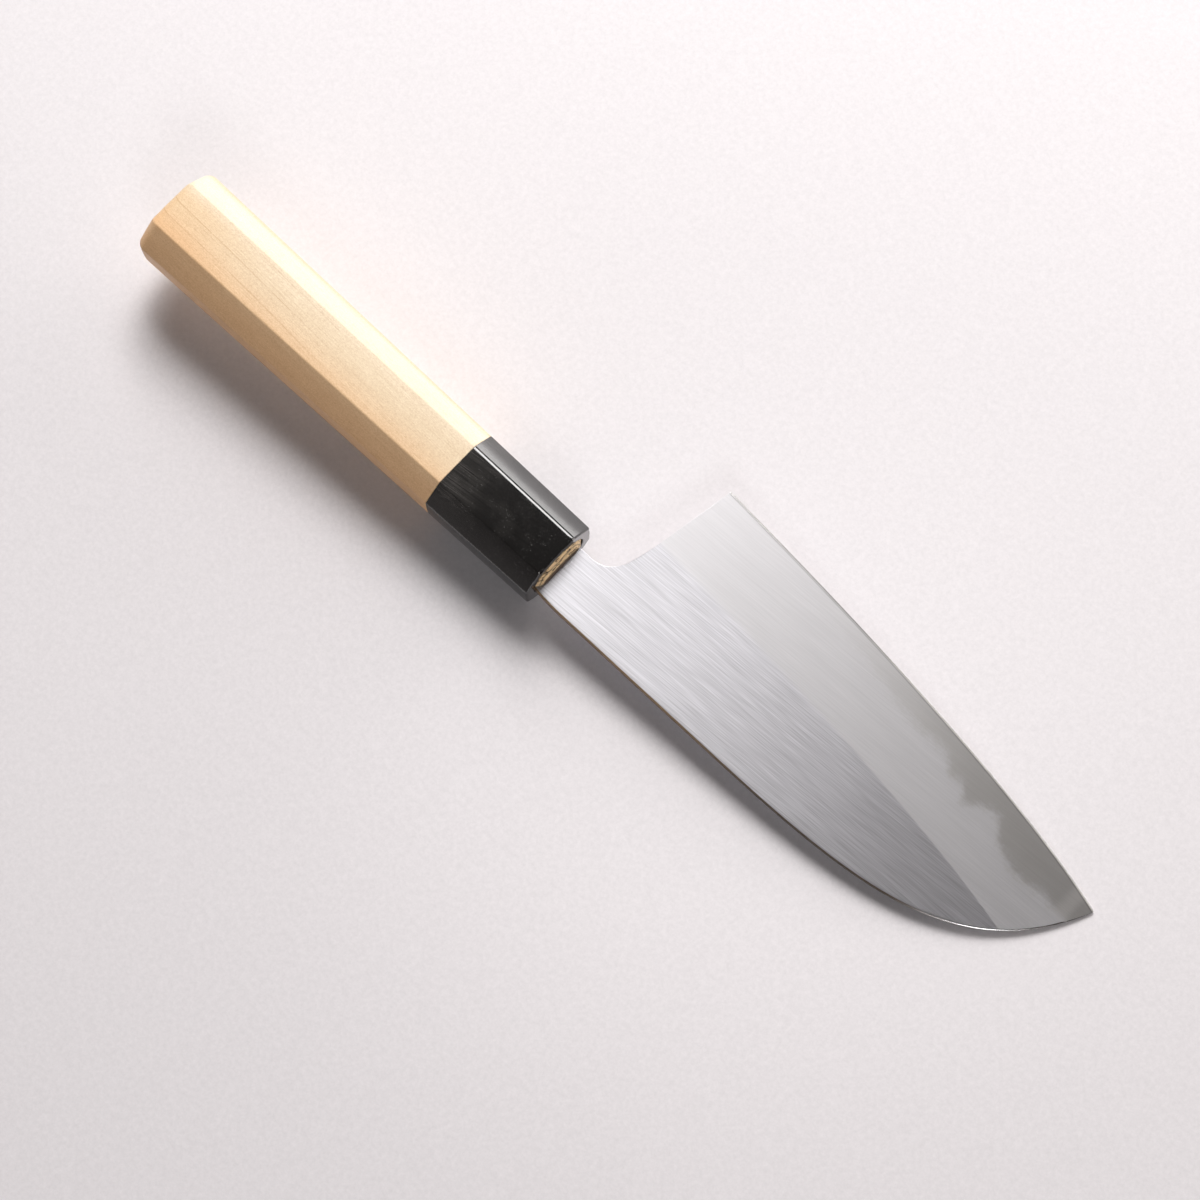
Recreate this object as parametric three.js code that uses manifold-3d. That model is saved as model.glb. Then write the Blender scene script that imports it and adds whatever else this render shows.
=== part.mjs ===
// A small santoku kitchen knife: a blade of three welded steel layers on a hidden tang, and an octagonal
// wooden handle with a black ferrule. It lies on its right face, as it comes to rest on a table.
// Millimetres, +Z up. In the knife's own frame, x runs from the ferrule's mouth to the tip, y runs from the
// handle's axis towards the cutting edge, and z points out of the blade's left face.
import * as THREE from "three";
import { LoftGeometry } from "three/addons/geometries/LoftGeometry.js";
import { mergeVertices } from "three/addons/utils/BufferGeometryUtils.js";
import Module from "manifold-3d";

// Handle: an octagon that narrows from the butt to the mouth
const HANDLE_LENGTH = 125.5;
const HANDLE_THICKNESS = 18.5;
const BUTT_WIDTH = 24.5;
const BUTT_CHAMFER_WIDTH = 5.8;
const BUTT_CHAMFER_HEIGHT = 5.2;
const BUTT_ROUNDING = 3;
const MOUTH_WIDTH = 21.1;
const MOUTH_CHAMFER_WIDTH = 4.9;
const MOUTH_CHAMFER_HEIGHT = 4.5;

// Ferrule: a ring on the oval tenon at the front of the wood
const FERRULE_LENGTH = 31.7;
const RIM_ROUNDING = 0.9;
const TENON_WIDTH = 16.2;
const TENON_HEIGHT = 14.4;
const TENON_RECESS = 0.8;
const BORE_CLEARANCE = 0.3;
const SEAT_GAP = 0.3;

// Tang: the narrow back end of the blade, driven into a slot in the wood
const TANG_LENGTH = 78;
const TANG_ROOT_WIDTH = 10.5;
const TANG_END_WIDTH = 6;
const TANG_ROOT_THICKNESS = 2.6;
const TANG_END_THICKNESS = 2;
const SLOT_CLEARANCE = 0.3;

// Blade outline
const EDGE_LENGTH = 125.7;
const HEEL_SETBACK = 17.1;
const HEEL_HEIGHT = 48.4;
const TIP_RISE = 15.6;
const BACK_OFFSET = 8.4;
const NECK_DIP = 0.6;
const NECK_WIDTH = 14.1;
const HEEL_LEAN = THREE.MathUtils.degToRad(9.6);
const CHOIL_ALONG_NECK = 6.5;
const CHOIL_UP_HEEL = 10.7;
const EDGE_BELLY_REACH = 34.9;
const EDGE_BELLY_RISE = 10.2;
const BACK_CURVE_REACH = 88.8;
const BACK_CURVE_LEAD = 47.3;
const TIP_CURVE_LEAD = 33.7;
const TIP_CURVE_ANGLE = THREE.MathUtils.degToRad(65.9);
const TIP_LAND = 0.6;

// Blade section: flat faces down to the ridge line, then a bevel to the edge
const BEVEL_WIDTH = 20.5;
const NECK_THICKNESS = 3;
const RIDGE_THICKNESS = 2.6;
const TIP_THICKNESS = 0.95;
const EDGE_THICKNESS = 0.25;
const CORE_THICKNESS = 0.8;
const LAYER_GAP = 0.1;
const CLADDING_SETBACK = 5;

// Fineness of the curves
const ROUND_STEPS = 5;
const OVAL_POINTS = 48;
const NECK_STEPS = 12;
const BLADE_STEPS = 44;
const JOIN_LAP = 2;

const { lerp } = THREE.MathUtils;
const wasm = await Module();
wasm.setup();

// A closed geometry as a solid that can be joined and cut, without the slivers that merged points leave
function solidOf(geometry) {
  const bare = new THREE.BufferGeometry();
  bare.setAttribute("position", geometry.getAttribute("position"));
  bare.setIndex(geometry.index);
  const merged = mergeVertices(bare);
  const corners = merged.index.array;
  const triangles = [];
  for (let i = 0; i < corners.length; i += 3) {
    const [a, b, c] = corners.slice(i, i + 3);
    if (a !== b && b !== c && c !== a) triangles.push(a, b, c);
  }
  return new wasm.Manifold(
    new wasm.Mesh({
      numProp: 3,
      vertProperties: merged.attributes.position.array,
      triVerts: new Uint32Array(triangles),
    }),
  );
}

// A solid skinned over cross sections
function loft(sections) {
  return solidOf(new LoftGeometry(sections, { capStart: true, capEnd: true }));
}

// A named mesh of a solid, with its own material
function meshOf(name, solid, look) {
  const { vertProperties, triVerts } = solid.getMesh();
  const geometry = new THREE.BufferGeometry();
  geometry.setAttribute("position", new THREE.BufferAttribute(vertProperties, 3));
  geometry.setIndex(new THREE.BufferAttribute(triVerts, 1));
  geometry.computeVertexNormals();
  const mesh = new THREE.Mesh(geometry, new THREE.MeshStandardMaterial(look));
  mesh.name = name;
  return mesh;
}

// A four-cornered section between a point on the back side and one on the edge side
function slabSection(back, backHalf, front, frontHalf) {
  return [
    new THREE.Vector3(back.x, back.y, -backHalf),
    new THREE.Vector3(front.x, front.y, -frontHalf),
    new THREE.Vector3(front.x, front.y, frontHalf),
    new THREE.Vector3(back.x, back.y, backHalf),
  ];
}

// The handle's octagon at x, drawn in by the given inset
function octagonAt(x, inset) {
  const toMouth = (x + HANDLE_LENGTH) / HANDLE_LENGTH;
  const halfWidth = lerp(BUTT_WIDTH, MOUTH_WIDTH, toMouth) / 2;
  const halfThickness = HANDLE_THICKNESS / 2;
  const cornerInset = inset * Math.tan(Math.PI / 8);
  const flat = halfWidth - lerp(BUTT_CHAMFER_WIDTH, MOUTH_CHAMFER_WIDTH, toMouth) - cornerInset;
  const side = halfThickness - lerp(BUTT_CHAMFER_HEIGHT, MOUTH_CHAMFER_HEIGHT, toMouth) - cornerInset;
  const wide = halfWidth - inset;
  const high = halfThickness - inset;
  const corners = [
    [wide, -side],
    [wide, side],
    [flat, high],
    [-flat, high],
    [-wide, side],
    [-wide, -side],
    [-flat, -high],
    [flat, -high],
  ];
  return corners.map(([y, z]) => new THREE.Vector3(x, y, z));
}

// An oval section of the tenon or of the bore round it
function ovalAt(x, clearance) {
  const outline = new THREE.EllipseCurve(0, 0, TENON_WIDTH / 2 + clearance, TENON_HEIGHT / 2 + clearance);
  const points = outline.getPoints(OVAL_POINTS).slice(0, OVAL_POINTS);
  return points.map((p) => new THREE.Vector3(x, p.x, p.y));
}

// Octagons that round an end of the handle off, from the end face inwards
function roundedEnd(endX, inwards, rounding) {
  const sections = [];
  for (let step = 0; step <= ROUND_STEPS; step += 1) {
    const turn = ((step / ROUND_STEPS) * Math.PI) / 2;
    const x = endX + inwards * rounding * (1 - Math.cos(turn));
    sections.push(octagonAt(x, rounding * (1 - Math.sin(turn))));
  }
  return sections;
}

const tenonEnd = -TENON_RECESS;
const shoulderX = -FERRULE_LENGTH;

// The tang, or with a clearance the slot that it is driven into
function tang(frontX, clearance) {
  const endX = tenonEnd - TANG_LENGTH - clearance;
  const sectionAt = (x, width, thickness) => {
    const reach = width / 2 + clearance;
    const half = thickness / 2 + clearance;
    return slabSection(new THREE.Vector2(x, -reach), half, new THREE.Vector2(x, reach), half);
  };
  return loft([
    sectionAt(endX, TANG_END_WIDTH, TANG_END_THICKNESS),
    sectionAt(tenonEnd, TANG_ROOT_WIDTH, TANG_ROOT_THICKNESS),
    sectionAt(frontX, TANG_ROOT_WIDTH, TANG_ROOT_THICKNESS),
  ]);
}

// The wooden body, its tenon and the slot for the tang
function woodenHandle() {
  const body = loft([...roundedEnd(-HANDLE_LENGTH, 1, BUTT_ROUNDING), octagonAt(shoulderX, 0)]);
  const tenon = loft([ovalAt(shoulderX - JOIN_LAP, 0), ovalAt(tenonEnd, 0)]);
  return body.add(tenon).subtract(tang(tenonEnd + JOIN_LAP, SLOT_CLEARANCE));
}

// The ferrule: the same octagon as the wood, bored to slide on the tenon
function ferrule() {
  const ring = loft([octagonAt(shoulderX + SEAT_GAP, 0), ...roundedEnd(0, -1, RIM_ROUNDING).reverse()]);
  const bore = loft([ovalAt(shoulderX - JOIN_LAP, BORE_CLEARANCE), ovalAt(JOIN_LAP, BORE_CLEARANCE)]);
  return ring.subtract(bore);
}

// Places on the blade's outline
const backY = -BACK_OFFSET;
const neckBackY = backY + NECK_DIP;
const heel = new THREE.Vector2(HEEL_SETBACK, backY + HEEL_HEIGHT);
const tip = new THREE.Vector2(HEEL_SETBACK + EDGE_LENGTH, heel.y - TIP_RISE);
const neckFrontY = neckBackY + NECK_WIDTH;
const neckStartX = tenonEnd + SEAT_GAP;
const heelLineAt = (y) => new THREE.Vector2(heel.x - (heel.y - y) * Math.tan(HEEL_LEAN), y);
const choilCorner = heelLineAt(neckFrontY);
const backAtHeel = heelLineAt(backY);
const curveStart = new THREE.Vector2(tip.x - BACK_CURVE_REACH, backY);

// The back ahead of the heel: straight, then one sweep down to the tip
const back = new THREE.CurvePath();
back.add(new THREE.LineCurve(backAtHeel, curveStart));
back.add(
  new THREE.CubicBezierCurve(
    curveStart,
    new THREE.Vector2(curveStart.x + BACK_CURVE_LEAD, backY),
    new THREE.Vector2(
      tip.x - TIP_CURVE_LEAD * Math.cos(TIP_CURVE_ANGLE),
      tip.y - TIP_CURVE_LEAD * Math.sin(TIP_CURVE_ANGLE),
    ),
    tip,
  ),
);

// The cutting edge: a shallow belly from heel to tip
const edge = new THREE.QuadraticBezierCurve(
  heel,
  new THREE.Vector2(tip.x - EDGE_BELLY_REACH, tip.y + EDGE_BELLY_RISE),
  tip,
);

// The neck's two sides, from inside the ferrule's mouth to the line of the heel
const neckBack = new THREE.QuadraticBezierCurve(
  new THREE.Vector2(neckStartX, neckBackY),
  new THREE.Vector2(lerp(neckStartX, backAtHeel.x, 0.5), backY),
  backAtHeel,
);
const choilStart = new THREE.Vector2(choilCorner.x - CHOIL_ALONG_NECK, neckFrontY);
const neckFront = new THREE.CurvePath();
neckFront.add(new THREE.LineCurve(new THREE.Vector2(neckStartX, neckFrontY), choilStart));
neckFront.add(new THREE.QuadraticBezierCurve(choilStart, choilCorner, heelLineAt(neckFrontY + CHOIL_UP_HEEL)));

// The flat face is one plane, which thins from the neck to the ridge line over the heel and to the tip
const ridgeAtHeel = heelLineAt(heel.y - BEVEL_WIDTH);
const flatFace = new THREE.Plane().setFromCoplanarPoints(
  new THREE.Vector3(0, backY, NECK_THICKNESS / 2),
  new THREE.Vector3(tip.x, tip.y, TIP_THICKNESS / 2),
  new THREE.Vector3(ridgeAtHeel.x, ridgeAtHeel.y, RIDGE_THICKNESS / 2),
);

// Half the thickness between the two flat faces at a point of the outline
function halfFlat(point) {
  const { normal, constant } = flatFace;
  return -(constant + normal.x * point.x + normal.y * point.y) / normal.z;
}

// A section across the blade ahead of the heel: the back, the ridge line and the edge, on both faces
function bladeSection(along) {
  const atBack = back.getPointAt(along);
  const atEdge = edge.getPointAt(along);
  const width = atBack.distanceTo(atEdge);
  const ridge = atEdge.clone().lerp(atBack, Math.min(BEVEL_WIDTH / width, 1));
  const profile = [
    [atBack, halfFlat(atBack)],
    [ridge, halfFlat(ridge)],
    [atEdge, EDGE_THICKNESS / 2],
  ];
  const lower = profile.map(([p, half]) => new THREE.Vector3(p.x, p.y, -half));
  const upper = profile.map(([p, half]) => new THREE.Vector3(p.x, p.y, half));
  return [...lower, ...upper.reverse()];
}

// The whole blade with neck and tang, before it is parted into layers
function wholeBlade() {
  const blade = [];
  const neck = [];
  const lastAlong = 1 - TIP_LAND / back.getLength();
  for (let step = 0; step <= BLADE_STEPS; step += 1) {
    blade.push(bladeSection((lastAlong * step) / BLADE_STEPS));
  }
  for (let step = 0; step <= NECK_STEPS; step += 1) {
    const atBack = neckBack.getPointAt(step / NECK_STEPS);
    const atFront = neckFront.getPointAt(step / NECK_STEPS);
    neck.push(slabSection(atBack, halfFlat(atBack), atFront, halfFlat(atFront)));
  }
  // A tongue of the neck reaches into the blade, inside its faces
  const tongue = neck.at(-1).map((p) => new THREE.Vector3(p.x + JOIN_LAP, p.y, p.z / 2));
  return loft(blade)
    .add(loft([...neck, tongue]))
    .add(tang(neckStartX + JOIN_LAP, 0));
}

// A block that holds everything of the blade behind frontX and between two heights
function layerBlock(frontX, low, high) {
  const reach = TANG_LENGTH + tip.x + heel.y;
  const block = new THREE.BoxGeometry(reach, reach, high - low);
  block.translate(frontX - reach / 2, 0, (low + high) / 2);
  return solidOf(block);
}

const blade = wholeBlade();
const coreHalf = CORE_THICKNESS / 2;
const claddingStart = coreHalf + LAYER_GAP;
const beyondFace = claddingStart + NECK_THICKNESS;
const claddingFront = tip.x - CLADDING_SETBACK;
const core = blade.intersect(layerBlock(tip.x, -coreHalf, coreHalf));
const leftCladding = blade.intersect(layerBlock(claddingFront, claddingStart, beyondFace));
const rightCladding = blade.intersect(layerBlock(claddingFront, -beyondFace, -claddingStart));

const WOOD_LOOK = { color: 0xe6c79c, roughness: 0.6, metalness: 0 };
const HORN_LOOK = { color: 0x1c1a19, roughness: 0.25, metalness: 0 };
const CLADDING_LOOK = { color: 0xc4c6c9, roughness: 0.38, metalness: 1 };
const CORE_LOOK = { color: 0x8f8b86, roughness: 0.35, metalness: 1 };

const knife = new THREE.Group();
knife.add(
  meshOf("hard_steel_core", core, CORE_LOOK),
  meshOf("left_cladding", leftCladding, CLADDING_LOOK),
  meshOf("right_cladding", rightCladding, CLADDING_LOOK),
  meshOf("wooden_handle", woodenHandle(), WOOD_LOOK),
  meshOf("ferrule", ferrule(), HORN_LOOK),
);

// At rest the knife tips forward over the ferrule's front edge until the point of the blade is down
const restDrop = HANDLE_THICKNESS / 2 - TIP_THICKNESS / 2;
knife.rotation.y = Math.atan2(restDrop, tip.x + RIM_ROUNDING);

// The origin is under the middle of the resting knife
const box = new THREE.Box3().setFromObject(knife, true);
const centre = box.getCenter(new THREE.Vector3());
knife.position.set(-centre.x, -centre.y, -box.min.z);

const santoku = new THREE.Group();
santoku.add(knife);

export default santoku;
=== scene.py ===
"""A small santoku knife with a laminated blade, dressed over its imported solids.

Shapes are worked out in millimetres in the knife's own frame: x runs from the ferrule's mouth to the tip, y
from the handle's axis towards the cutting edge, and z out of the blade's left face. KnifeFrame lays the
finished points down in metres, as the knife rests on the table.
"""

import logging
import math
from collections.abc import Sequence
from dataclasses import dataclass, field, replace
from enum import Enum
from functools import reduce

import bmesh
import bpy
import numpy as np
from mathutils import Matrix, Vector


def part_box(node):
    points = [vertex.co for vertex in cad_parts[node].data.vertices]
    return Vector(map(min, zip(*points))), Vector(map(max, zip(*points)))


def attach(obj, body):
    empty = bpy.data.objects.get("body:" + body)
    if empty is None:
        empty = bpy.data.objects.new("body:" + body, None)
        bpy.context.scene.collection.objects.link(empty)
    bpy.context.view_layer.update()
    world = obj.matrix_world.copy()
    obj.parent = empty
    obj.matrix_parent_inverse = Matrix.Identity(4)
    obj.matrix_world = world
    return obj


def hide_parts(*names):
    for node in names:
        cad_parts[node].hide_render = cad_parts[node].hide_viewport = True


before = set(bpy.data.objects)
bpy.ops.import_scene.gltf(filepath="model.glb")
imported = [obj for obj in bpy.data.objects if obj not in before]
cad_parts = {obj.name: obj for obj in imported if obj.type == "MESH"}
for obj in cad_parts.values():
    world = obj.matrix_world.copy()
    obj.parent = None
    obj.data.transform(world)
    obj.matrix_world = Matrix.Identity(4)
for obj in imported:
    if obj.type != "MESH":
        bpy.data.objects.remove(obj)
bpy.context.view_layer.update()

MM = 0.001
TINY = 1e-9
# Points nearer to each other than this, in millimetres, are welded.
WELD = 0.0006
# The last section across the blade stands at this share of the way to the tip.
TIP_SHARE = 0.9985
GRAIN_MAP = "grain"
LOG = logging.getLogger("santoku")

Array = np.ndarray
Point = tuple[float, float]
Span = tuple[float, float]
Band = tuple[float, float, float, float]
Colour = tuple[float, float, float, float]
Socket = bpy.types.NodeSocket
Value = Socket | float
Paint = Socket | Colour


class Side(Enum):
    """The two faces of the blade, with the sign of z on each."""

    LEFT = 1
    RIGHT = -1


class Slot(Enum):
    """The record's material slots."""

    CORE = "core_steel"
    CLADDING = "cladding_steel"
    WOOD = "magnolia_wood"
    HORN = "black_horn"


Piece = tuple[bpy.types.Object, Slot, str]


def ease(low: float, high: float, value: Array) -> Array:
    """Smooth step: 0 below low, 1 above high, and a cubic S between them."""
    share = np.clip((value - low) / (high - low), 0.0, 1.0)
    return share * share * (3.0 - 2.0 * share)


def blunt_min(a: Array, b: Array, reach: Array) -> Array:
    """The lower of two heights, with the crease between them rounded off.

    Args:
        a: First height.
        b: Second height.
        reach: Height difference over which the two are blended by a parabola.

    Returns:
        The blended lower height.
    """
    share = np.clip(0.5 + 0.5 * (b - a) / reach, 0.0, 1.0)
    return b + (a - b) * share - reach * share * (1.0 - share)


def bezier(points: list[Point], steps: int) -> Array:
    """Points of a Bezier curve of any degree: the control points weighted by Bernstein polynomials.

    Args:
        points: Control points.
        steps: Number of points wanted.

    Returns:
        Array of steps by 2.
    """
    t = np.linspace(0.0, 1.0, steps)[:, None]
    degree = len(points) - 1
    terms = [math.comb(degree, k) * t**k * (1.0 - t) ** (degree - k) for k in range(degree + 1)]
    return sum(term * np.array(point) for term, point in zip(terms, points))


def run_along(path: Array, shares: Array) -> Array:
    """Points at given shares of a path's length, found by interpolating on its running length.

    Args:
        path: Array of n by 2 points, closely spaced.
        shares: Shares of the length, from 0 to 1.

    Returns:
        Array of len(shares) by 2.
    """
    steps = np.linalg.norm(np.diff(path, axis=0), axis=1)
    length = np.concatenate([[0.0], np.cumsum(steps)])
    wanted = shares * length[-1]
    return np.stack([np.interp(wanted, length, path[:, axis]) for axis in range(2)], axis=1)


def ripple(*waves: tuple[Array, float, float]) -> Array:
    """A repeatable unevenness: the mean of sines, each given as (position, wavelength, phase)."""
    return sum(np.sin(2.0 * np.pi * at / length + phase) for at, length, phase in waves) / len(waves)


@dataclass(frozen=True)
class KnifeFrame:
    """Where the knife lies: its frame turned about y by the rest tilt, then moved."""

    tilt: float
    offset: tuple[float, float, float]

    @classmethod
    def at_rest(cls, grip: "OctagonGrip", form: "BladeForm") -> "KnifeFrame":
        """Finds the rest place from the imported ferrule, on whose front lower edge the knife tips forward.

        Args:
            grip: Sizes of the octagonal handle.
            form: Sizes of the blade.

        Returns:
            The frame in which the tip and the ferrule's lower edge both touch the table.
        """
        half = grip.thickness / 2.0
        tilt = math.atan2(half - form.tip_thickness / 2.0, form.tip[0] + grip.rim_rounding)
        low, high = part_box("ferrule")
        across = (low.y + high.y) / 2.0
        forward = high.x - (half - grip.rim_rounding) * MM * math.sin(tilt)
        upward = low.z + (half * math.cos(tilt) - grip.rim_rounding * math.sin(tilt)) * MM
        return cls(tilt, (forward, across, upward))

    def place(self, points: Array) -> Array:
        """Knife points in millimetres as world points in metres."""
        turn = np.array(Matrix.Rotation(self.tilt, 3, "Y"))
        return points @ turn.T * MM + np.array(self.offset)


@dataclass
class Skin:
    """A closed surface given as rings of points carried along a path, each ring closed on itself.

    Attributes:
        rings: Array of rings by points by 3, in knife millimetres.
        marks: Named values for each point, which the finishes read as attributes.
        hoop: Whether the last ring joins the first, as round a bored piece.
        crease: Angle in degrees above which an edge is shaded sharp.
    """

    rings: Array
    marks: dict[str, Array] = field(default_factory=dict)
    hoop: bool = False
    crease: float = 32.0

    def faces(self) -> list[list[int]]:
        """Quads between neighbouring rings, and a face over each open end.

        Returns:
            Lists of point numbers, one for each face.
        """
        count, size = self.rings.shape[:2]
        ring = np.arange(count if self.hoop else count - 1)[:, None]
        point = np.arange(size)[None, :]
        after = (point + 1) % size
        ahead = (ring + 1) % count
        corners = [ring * size + point, ring * size + after, ahead * size + after, ahead * size + point]
        quads = np.stack(corners, axis=-1).reshape(-1, 4).tolist()
        if self.hoop:
            return quads
        last = (count - 1) * size
        return [*quads, list(range(size))[::-1], list(range(last, last + size))]

    def build(self, name: str, rest: KnifeFrame) -> bpy.types.Object:
        """Makes the mesh object: points welded, faces outward, and a map of millimetres across and along.

        Args:
            name: Name of the piece.
            rest: Frame that lays the piece down.

        Returns:
            The linked object, at the origin.
        """
        points = self.rings.reshape(-1, 3)
        mesh = bpy.data.meshes.new(name)
        mesh.from_pydata(rest.place(points).tolist(), [], self.faces())
        values = {"along": points[:, 0], "across": points[:, 1], **self.marks}
        for mark, value in values.items():
            layer = mesh.attributes.new(mark, "FLOAT", "POINT")
            layer.data.foreach_set("value", np.ravel(value).astype(np.float32))
        work = bmesh.new()
        work.from_mesh(mesh)
        bmesh.ops.remove_doubles(work, verts=work.verts, dist=WELD * MM)
        bmesh.ops.dissolve_degenerate(work, edges=work.edges, dist=WELD * MM)
        bmesh.ops.recalc_face_normals(work, faces=work.faces)
        work.to_mesh(mesh)
        work.free()
        mesh.shade_smooth()
        mesh.set_sharp_from_angle(angle=math.radians(self.crease))
        self.unwrap(mesh)
        piece = bpy.data.objects.new(name, mesh)
        bpy.context.scene.collection.objects.link(piece)
        return piece

    @staticmethod
    def unwrap(mesh: bpy.types.Mesh) -> None:
        """Writes the map whose u runs across the knife and whose v runs along it, in metres.

        Args:
            mesh: Mesh that already holds its across and along values.
        """
        corner = np.zeros(len(mesh.loops), np.int32)
        mesh.loops.foreach_get("vertex_index", corner)
        flat = np.zeros((2, len(mesh.vertices)), np.float32)
        mesh.attributes["across"].data.foreach_get("value", flat[0])
        mesh.attributes["along"].data.foreach_get("value", flat[1])
        layer = mesh.uv_layers.new(name=GRAIN_MAP)
        layer.data.foreach_set("uv", (flat[:, corner].T * MM).ravel())


@dataclass(frozen=True)
class Grain:
    """A noise: its features per millimetre along, across and through the knife, and its turn about z."""

    scale: tuple[float, float, float]
    slant: float = 0.0
    detail: float = 2.0
    rough: float = 0.5


class Shader:
    """Writes the nodes of one material, with coordinates in knife millimetres at hand."""

    def __init__(self, name: str, rest: KnifeFrame) -> None:
        """Starts an empty material with a Principled shader on its output.

        Args:
            name: Name of the material.
            rest: Frame of the resting knife.
        """
        self.material = bpy.data.materials.new(name)
        self.material.use_nodes = True
        self.tree = self.material.node_tree
        self.tree.nodes.clear()
        self.surface = self.add("ShaderNodeBsdfPrincipled")
        self.add("ShaderNodeOutputMaterial", {"Surface": self.surface.outputs[0]})
        lay = {
            "Vector": self.add("ShaderNodeTexCoord").outputs["Object"],
            "Location": rest.offset,
            "Rotation": (0.0, rest.tilt, 0.0),
            "Scale": (MM, MM, MM),
        }
        self.knife = self.add("ShaderNodeMapping", lay, vector_type="TEXTURE").outputs[0]

    def feed(self, target: Socket, value: object) -> None:
        """Links a socket to an input, or sets the input to any other value.

        Args:
            target: The input.
            value: A socket to link, or the value to set.
        """
        if isinstance(value, Socket):
            self.tree.links.new(value, target)
        else:
            target.default_value = value

    def add(self, kind: str, sockets: dict | None = None, **settings: object) -> bpy.types.Node:
        """Adds a node.

        Args:
            kind: Blender's name for the node type.
            sockets: Inputs by name or index: a socket is linked, and any other value is set.
            **settings: Properties of the node itself.

        Returns:
            The new node.
        """
        node = self.tree.nodes.new(kind)
        for key, value in settings.items():
            setattr(node, key, value)
        for key, value in (sockets or {}).items():
            self.feed(node.inputs[key], value)
        return node

    def dress(self, **sockets: object) -> None:
        """Sets or links inputs of the Principled shader, named with underscores for spaces."""
        for key, value in sockets.items():
            self.feed(self.surface.inputs[key.replace("_", " ").title().replace("Ior", "IOR")], value)

    def sums(self, operation: str, *values: Value) -> Socket:
        """One step of arithmetic on numbers or sockets."""
        return self.add("ShaderNodeMath", dict(enumerate(values)), operation=operation).outputs[0]

    def product(self, *values: Value) -> Socket:
        """The product of two or more numbers or sockets."""
        return reduce(lambda a, b: self.sums("MULTIPLY", a, b), values)

    def plus(self, base: Value, value: Socket, gain: float, middle: float = 0.0) -> Socket:
        """A base plus a gain times how far a value lies from its middle."""
        return self.sums("MULTIPLY_ADD", self.sums("SUBTRACT", value, middle), gain, base)

    def clamp(self, value: Socket) -> Socket:
        """A value cut off at 0 and 1."""
        return self.add("ShaderNodeClamp", {0: value}).outputs[0]

    def mark(self, name: str) -> Socket:
        """The value of a mesh attribute."""
        return self.add("ShaderNodeAttribute", attribute_name=name).outputs["Fac"]

    def turned(self, slant: float) -> Socket:
        """Knife coordinates turned by a slant about z."""
        sockets = {"Vector": self.knife, "Rotation": (0.0, 0.0, slant)}
        return self.add("ShaderNodeMapping", sockets, vector_type="POINT").outputs[0]

    def noise(self, grain: Grain) -> Socket:
        """Fractal noise from 0 to 1.

        Args:
            grain: Its scale, slant, detail and roughness.

        Returns:
            The noise.
        """
        stretch = {"Vector": self.turned(grain.slant), "Scale": grain.scale}
        at = self.add("ShaderNodeMapping", stretch).outputs[0]
        sockets = {"Vector": at, "Scale": 1.0, "Detail": grain.detail, "Roughness": grain.rough}
        return self.add("ShaderNodeTexNoise", sockets).outputs[0]

    def step(self, value: Socket, low: Value, high: Value) -> Socket:
        """Smooth step from 0 at low to 1 at high, where high may be the smaller number."""
        sockets = {"Value": value, "From Min": low, "From Max": high}
        return self.add("ShaderNodeMapRange", sockets, interpolation_type="SMOOTHSTEP").outputs[0]

    def band(self, value: Socket, low: float, full: float, waning: float, high: float) -> Socket:
        """Smooth band that rises from 0 at low to 1 at full, and falls from waning to 0 at high."""
        return self.product(self.step(value, low, full), self.step(value, high, waning))

    def spread(self, value: Socket, low: float, high: float) -> Socket:
        """Stretches a value from 0..1 to low..high."""
        return self.add("ShaderNodeMapRange", {"Value": value, "To Min": low, "To Max": high}).outputs[0]

    def blend(self, share: Value, first: Paint, second: Paint) -> Socket:
        """A colour between two colours."""
        return self.add("ShaderNodeMix", {0: share, 6: first, 7: second}, data_type="RGBA").outputs[2]

    def between(self, share: Value, first: Value, second: Value) -> Socket:
        """A number between two numbers."""
        return self.add("ShaderNodeMix", {0: share, 2: first, 3: second}).outputs[0]

    def multiply(self, share: Value, colour: Paint, gain: Paint) -> Socket:
        """A colour multiplied by another colour, to a share."""
        mixed = {0: share, 6: colour, 7: gain}
        return self.add("ShaderNodeMix", mixed, data_type="RGBA", blend_type="MULTIPLY").outputs[2]

    def tint(self, colour: Paint, *gains: Socket) -> Socket:
        """A colour multiplied by one number, or by one for each of red, green and blue."""
        shares = dict(enumerate(gains if len(gains) == 3 else gains * 3))
        return self.multiply(1.0, colour, self.add("ShaderNodeCombineColor", shares).outputs[0])

    def relief(self, height: Socket, depth: float, strength: float = 1.0) -> Socket:
        """A normal bumped by a height of 0 to 1 that stands for the given depth in millimetres."""
        sockets = {"Height": height, "Distance": depth * MM, "Strength": strength}
        return self.add("ShaderNodeBump", sockets).outputs[0]


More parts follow.
